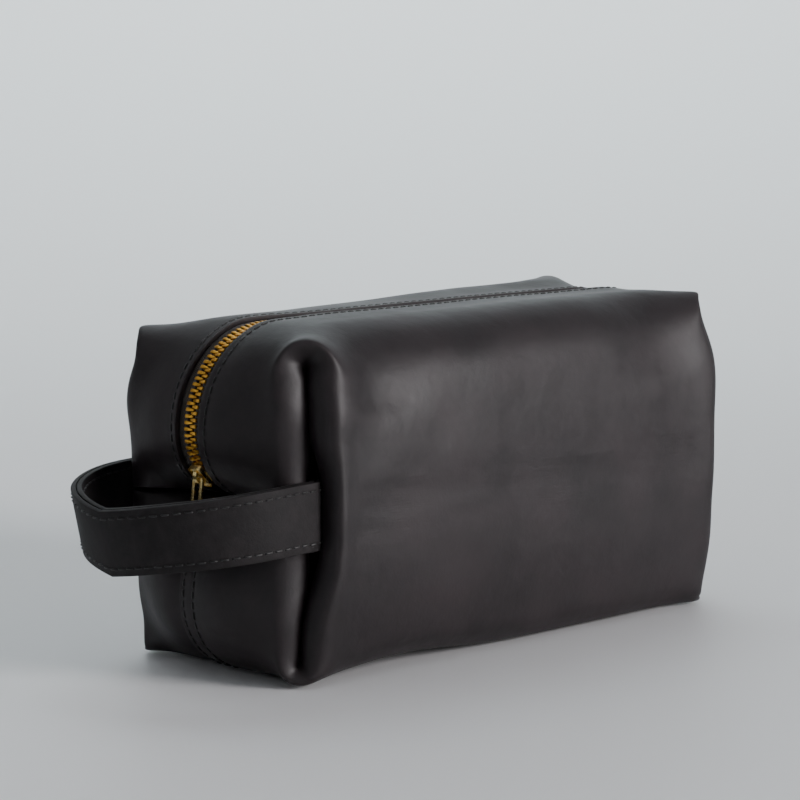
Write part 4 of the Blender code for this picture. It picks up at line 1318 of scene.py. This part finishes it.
def strap_frame(distance):
    """Frame on the strap's middle line: X along it, Y up, Z outward."""
    pieces = strap_pieces()
    total = run_length(pieces)
    side = -1 if distance <= total else 1
    along = distance if side < 0 else 2 * total - distance
    start = seam_heart() - Vector((DIAGONAL, DIAGONAL)) * body().allowance
    point, heading = walk(start, math.pi / 4, pieces, along)
    hinge = body().allowance + strap().hinge_lead
    share = max(along - hinge, 0.0) / (total - hinge)
    z = strap_centre() - strap().droop * share ** 1.5
    level_out = Vector((math.sin(heading), side * math.cos(heading), 0))
    turn = strap().twist * smooth(share)
    outward = level_out * math.cos(turn) - Vector((0, 0, math.sin(turn)))
    up = level_out * math.sin(turn) + Vector((0, 0, math.cos(turn)))
    return frame_of(up.cross(outward), up, outward, Vector((-point.x, side * point.y, z)))


def make_strap_layer(name, way):
    """One layer of the strap, with softened edges; way is +1 outside and -1 inside."""
    sizes = strap()
    total = 2 * run_length(strap_pieces())
    count = 260
    across = 10
    sheet = bmesh.new()
    bmesh.ops.create_grid(sheet, x_segments=count, y_segments=across, size=1)
    row = sizes.height / 2 - stitch().inset
    for vertex in sheet.verts:
        distance = total * (vertex.co.x + 1) / 2
        height = vertex.co.y * sizes.height / 2
        ripple = 0.25 * MM * noise.noise(Vector((distance / 0.018, height / 0.02, 5.0 + way)))
        pulled = -0.22 * MM * way * bell(abs(height) - row, 0.0013)
        crown = 0.1 * MM * way * (1 - (vertex.co.y) ** 4)
        wave = 0.35 * MM * noise.noise(Vector((distance / 0.022, 0.0, 2.2)))
        offset = way * (sizes.layer + sizes.gap) / 2 + ripple * 0.4 + pulled + crown
        vertex.co = strap_frame(distance) @ Vector((0, height + wave * 0.5, offset))
    made = from_sheet(name, sheet)
    wall = made.modifiers.new("wall", "SOLIDIFY")
    wall.thickness = sizes.layer
    wall.offset = 0
    wall.material_offset_rim = 1
    eased = made.modifiers.new("eased", "BEVEL")
    eased.width = 0.4 * MM
    eased.segments = 3
    eased.limit_method = "ANGLE"
    eased.angle_limit = math.radians(60)
    made.data.materials.append(material("strap"))
    made.data.materials.append(material("edge"))
    apply_all(made)
    activate(made)
    bpy.ops.object.mode_set(mode="EDIT")
    bpy.ops.mesh.select_all(action="SELECT")
    bpy.ops.mesh.normals_make_consistent(inside=False)
    bpy.ops.object.mode_set(mode="OBJECT")
    dress(made, ("strap", "edge"), 50.0)
    return made


def bend_with_handle(piece):
    """Put a piece of the strap's place into its mesh, so that its object sits at the origin."""
    hinge = strap_frame(body().allowance + strap().hinge_lead).translation
    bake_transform(piece)


class KIT_OT_handle(bpy.types.Operator):
    """Make the two layers of the strap handle"""
    bl_idname = "kit.handle"
    bl_label = "Handle"
    bl_options = {"REGISTER", "UNDO"}

    def execute(self, context):
        for layer, way in (("outer", 1), ("inner", -1)):
            made = make_strap_layer(f"{layer}_strap", way)
            bend_with_handle(made)
            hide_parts(f"handle_{layer}_layer", f"handle_{layer}_end_front",
                        f"handle_{layer}_end_back")
        return {"FINISHED"}


# ================================================================ stitches
def stitch_unit():
    """One stitch: a short length of thread that dives into the leather at both ends."""
    sizes = stitch()
    run = sizes.pitch - sizes.gap
    start_fresh()
    bpy.ops.mesh.primitive_cylinder_add(vertices=8, radius=sizes.thread / 2, depth=run,
                                        end_fill_type="NGON", rotation=(0, math.pi / 2, 0))
    made = bpy.context.object
    made.name = "stitch"
    settle_place(made)
    pick_edges(made, lambda a, b: abs(a.x - b.x) > run / 2)
    bpy.ops.mesh.subdivide(number_cuts=7)
    bpy.ops.object.mode_set(mode="OBJECT")
    for vertex in made.data.vertices:
        share = 2 * vertex.co.x / run
        slim = 1 - 0.35 * abs(share) ** 6
        vertex.co.y *= slim
        vertex.co.z = vertex.co.z * slim + 0.18 * MM - 0.62 * MM * abs(share) ** 5
    return made


def surface_of(piece):
    """A tree for finding the nearest point of a piece's surface."""
    return BVHTree.FromObject(piece, bpy.context.evaluated_depsgraph_get())


def row_on(surface, guides, lean=0.0):
    """Stitch frames laid on a surface along guide frames."""
    frames = []
    for at, guide in enumerate(guides):
        point, normal = surface.find_nearest(guide.translation)[:2]
        outward = guide.to_3x3().col[2]
        if normal.dot(outward) < 0:
            normal = -normal
        along = guide.to_3x3().col[0]
        along = (along - normal * along.dot(normal)).normalized()
        made = frame_of(along, normal.cross(along), normal, point)
        sway = 0.03 * math.sin(at * 2.3) + lean
        frames.append(made @ Matrix.Rotation(sway, 4, "Z"))
    return frames


class KIT_OT_zip_stitches(bpy.types.Operator):
    """Make the stitching along both edges of the zip"""
    bl_idname = "kit.zip_stitches"
    bl_label = "Zip stitches"
    bl_options = {"REGISTER", "UNDO"}

    def execute(self, context):
        total = run_length(top_pieces()) - 2 * MM
        count = int(2 * total / stitch().pitch)
        for name, side in SIDES:
            across = side * (zipper().opening / 2 + stitch().inset)
            guides = [line_frame(-total + (step + 0.5) * stitch().pitch, -0.3 * MM, across)
                      for step in range(count)]
            surface = surface_of(bpy.data.objects[f"{name}_leather"])
            made = copies(f"{name}_zip_stitches", stitch_unit(), row_on(surface, guides, 0.05), ("thread",))
            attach(made, "bag")
            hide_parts(f"zip_thread_{name}")
        return {"FINISHED"}


class KIT_OT_bottom_stitches(bpy.types.Operator):
    """Make the two rows of stitches of the bottom seam"""
    bl_idname = "kit.bottom_stitches"
    bl_label = "Bottom stitches"
    bl_options = {"REGISTER", "UNDO"}

    def execute(self, context):
        total = run_length(base_pieces()) - 2 * MM
        flat = base_pieces()[0][0]
        count = int(2 * total / stitch().pitch)
        surface = surface_of(bpy.data.objects["front_leather"])
        for name, side in SIDES:
            guides = []
            for step in range(count):
                distance = -total + (step + 0.5) * stitch().pitch
                # the row lies sunk in the leather where the bag stands on it
                sink = 0.55 * MM * (1 - smooth((abs(distance) - flat) / 0.012))
                guides.append((line_frame(distance, 0.0, side * stitch().bottom_row, upper=False), sink))
            frames = row_on(surface, [guide for guide, sink in guides])
            for place, (guide, sink) in zip(frames, guides):
                place.translation -= place.to_3x3().col[2] * sink
            made = copies(f"bottom_stitches_{name}", stitch_unit(), frames, ("thread",))
            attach(made, "bag")
            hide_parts(f"bottom_thread_{name}")
        return {"FINISHED"}


class KIT_OT_handle_stitches(bpy.types.Operator):
    """Make the stitching along both edges of the strap, outside and inside"""
    bl_idname = "kit.handle_stitches"
    bl_label = "Handle stitches"
    bl_options = {"REGISTER", "UNDO"}

    def execute(self, context):
        sizes = strap()
        total = 2 * run_length(strap_pieces())
        first = body().allowance + 5 * MM
        count = int((total - 2 * first) / stitch().pitch)
        thick = sizes.layer + sizes.gap / 2
        for name, way in (("upper", 1), ("lower", -1)):
            frames = []
            for layer, face in (("outer", 1), ("inner", -1)):
                surface = surface_of(bpy.data.objects[f"{layer}_strap"])
                guides = []
                for step in range(count):
                    guide = strap_frame(first + (step + 0.5) * stitch().pitch)
                    rise = way * (sizes.height / 2 - stitch().inset)
                    turn = Matrix.Identity(4) if face > 0 else Matrix.Rotation(math.pi, 4, "Y")
                    guides.append(guide @ Matrix.Translation((0, rise, face * (thick + 0.4 * MM))) @ turn)
                frames += row_on(surface, guides, 0.06)
            made = copies(f"{name}_handle_stitches", stitch_unit(), frames, ("thread",))
            bend_with_handle(made)
            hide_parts(f"handle_thread_{name}")
        return {"FINISHED"}


# ================================================================ stage
def soft_light(name, place, target, size, power, tint):
    """A large soft light that faces a point."""
    light = bpy.data.lights.new(name, "AREA")
    light.shape = "RECTANGLE"
    light.size, light.size_y = size
    light.energy = power
    light.color = tint
    made = bpy.data.objects.new(name, light)
    made.location = place
    made.rotation_euler = (Vector(target) - Vector(place)).to_track_quat("-Z", "Y").to_euler()
    bpy.context.scene.collection.objects.link(made)


class KIT_OT_stage(bpy.types.Operator):
    """Make the floor, the lights and the camera"""
    bl_idname = "kit.stage"
    bl_label = "Stage"
    bl_options = {"REGISTER", "UNDO"}

    def execute(self, context):
        # a floor that sweeps up into a wall, turned to face the camera
        turned = math.radians(-44.4)
        start_fresh()
        bpy.ops.mesh.primitive_plane_add(size=7, location=(0, 0, 0))
        floor = bpy.context.object
        floor.name = "floor"
        pick_edges(floor, lambda a, b: a.y > 3 and b.y > 3)
        bpy.ops.mesh.extrude_region_move(TRANSFORM_OT_translate={"value": (0, 0, 3.5)})
        bpy.ops.object.mode_set(mode="OBJECT")
        pick_edges(floor, lambda a, b: a.y > 3 and b.y > 3 and a.z < 1 and b.z < 1)
        bpy.ops.mesh.bevel(offset=2.2, segments=32)
        bpy.ops.object.mode_set(mode="OBJECT")
        for vertex in floor.data.vertices:
            vertex.co.y -= 0.6
        floor.data.transform(Matrix.Rotation(turned, 4, "Z"))
        bpy.ops.object.shade_smooth()
        paint = new_material("matt_painted_floor", {"Roughness": 0.6, "Base Color": rgba(finish().floor)})[0]
        floor.data.materials.append(paint)
        middle = (0, 0, body().height / 2)
        soft_light("key", (0.66, -1.74, 0.60), middle, (0.7, 0.8), 42, (1.0, 0.965, 0.975))
        soft_light("sky", (0.5, 0.9, 1.9), middle, (1.2, 1.0), 7, (0.86, 0.97, 1.0))
        soft_light("wall", (1.0, 1.02, 1.6), (2.0, 2.0, 0.5), (1.6, 1.0), 30, (0.86, 0.98, 1.0))
        world = bpy.data.worlds.new("pale_room")
        world.use_nodes = True
        room = world.node_tree.nodes["Background"]
        room.inputs["Color"].default_value = (0.62, 0.74, 0.76, 1.0)
        room.inputs["Strength"].default_value = 0.1
        context.scene.world = world
        lens = bpy.data.cameras.new("camera")
        lens.sensor_width = 36
        lens.lens = 126.1
        lens.clip_start = 0.05
        camera = bpy.data.objects.new("camera", lens)
        camera.location = (-0.785, -0.782, 0.2373)
        camera.rotation_euler = (math.radians(90 - 7.47), 0, turned)
        context.scene.collection.objects.link(camera)
        context.scene.camera = camera
        return {"FINISHED"}


# ================================================================ add-on
STEPS = ("leather", "tapes", "teeth", "slider", "pull", "stops", "handle", "zip_stitches",
         "bottom_stitches", "handle_stitches", "stage")


class KIT_PT_panel(bpy.types.Panel):
    """Sizes, finishes and the steps that make the bag"""
    bl_idname = "KIT_PT_panel"
    bl_label = "Shaving kit bag"
    bl_space_type = "VIEW_3D"
    bl_region_type = "UI"
    bl_category = "Kit Bag"

    def draw(self, context):
        layout = self.layout
        for step in STEPS:
            layout.operator(f"kit.{step}")
        for group in (body(), fill(), zipper(), strap(), stitch(), finish()):
            box = layout.box()
            for name in group.__annotations__:
                box.prop(group, name)


GROUPS = {"kit_body": KitBodySizes, "kit_fill": KitFillSizes, "kit_zip": KitZipSizes,
          "kit_handle": KitHandleSizes, "kit_stitch": KitStitchSizes, "kit_finish": KitFinishes}
CLASSES = (KIT_OT_leather, KIT_OT_tapes, KIT_OT_teeth, KIT_OT_slider, KIT_OT_pull, KIT_OT_stops,
           KIT_OT_handle, KIT_OT_zip_stitches, KIT_OT_bottom_stitches, KIT_OT_handle_stitches,
           KIT_OT_stage, KIT_PT_panel)


def register():
    """Register the property groups, the operators and the panel."""
    for name, group in GROUPS.items():
        bpy.utils.register_class(group)
        setattr(bpy.types.Scene, name, bpy.props.PointerProperty(type=group))
    for item in CLASSES:
        bpy.utils.register_class(item)


def unregister():
    """Undo register."""
    for item in reversed(CLASSES):
        bpy.utils.unregister_class(item)
    for name, group in GROUPS.items():
        delattr(bpy.types.Scene, name)
        bpy.utils.unregister_class(group)


def main():
    """Make the whole bag."""
    register()
    for step in STEPS:
        getattr(bpy.ops.kit, step)()


if __name__ == "__main__":
    main()
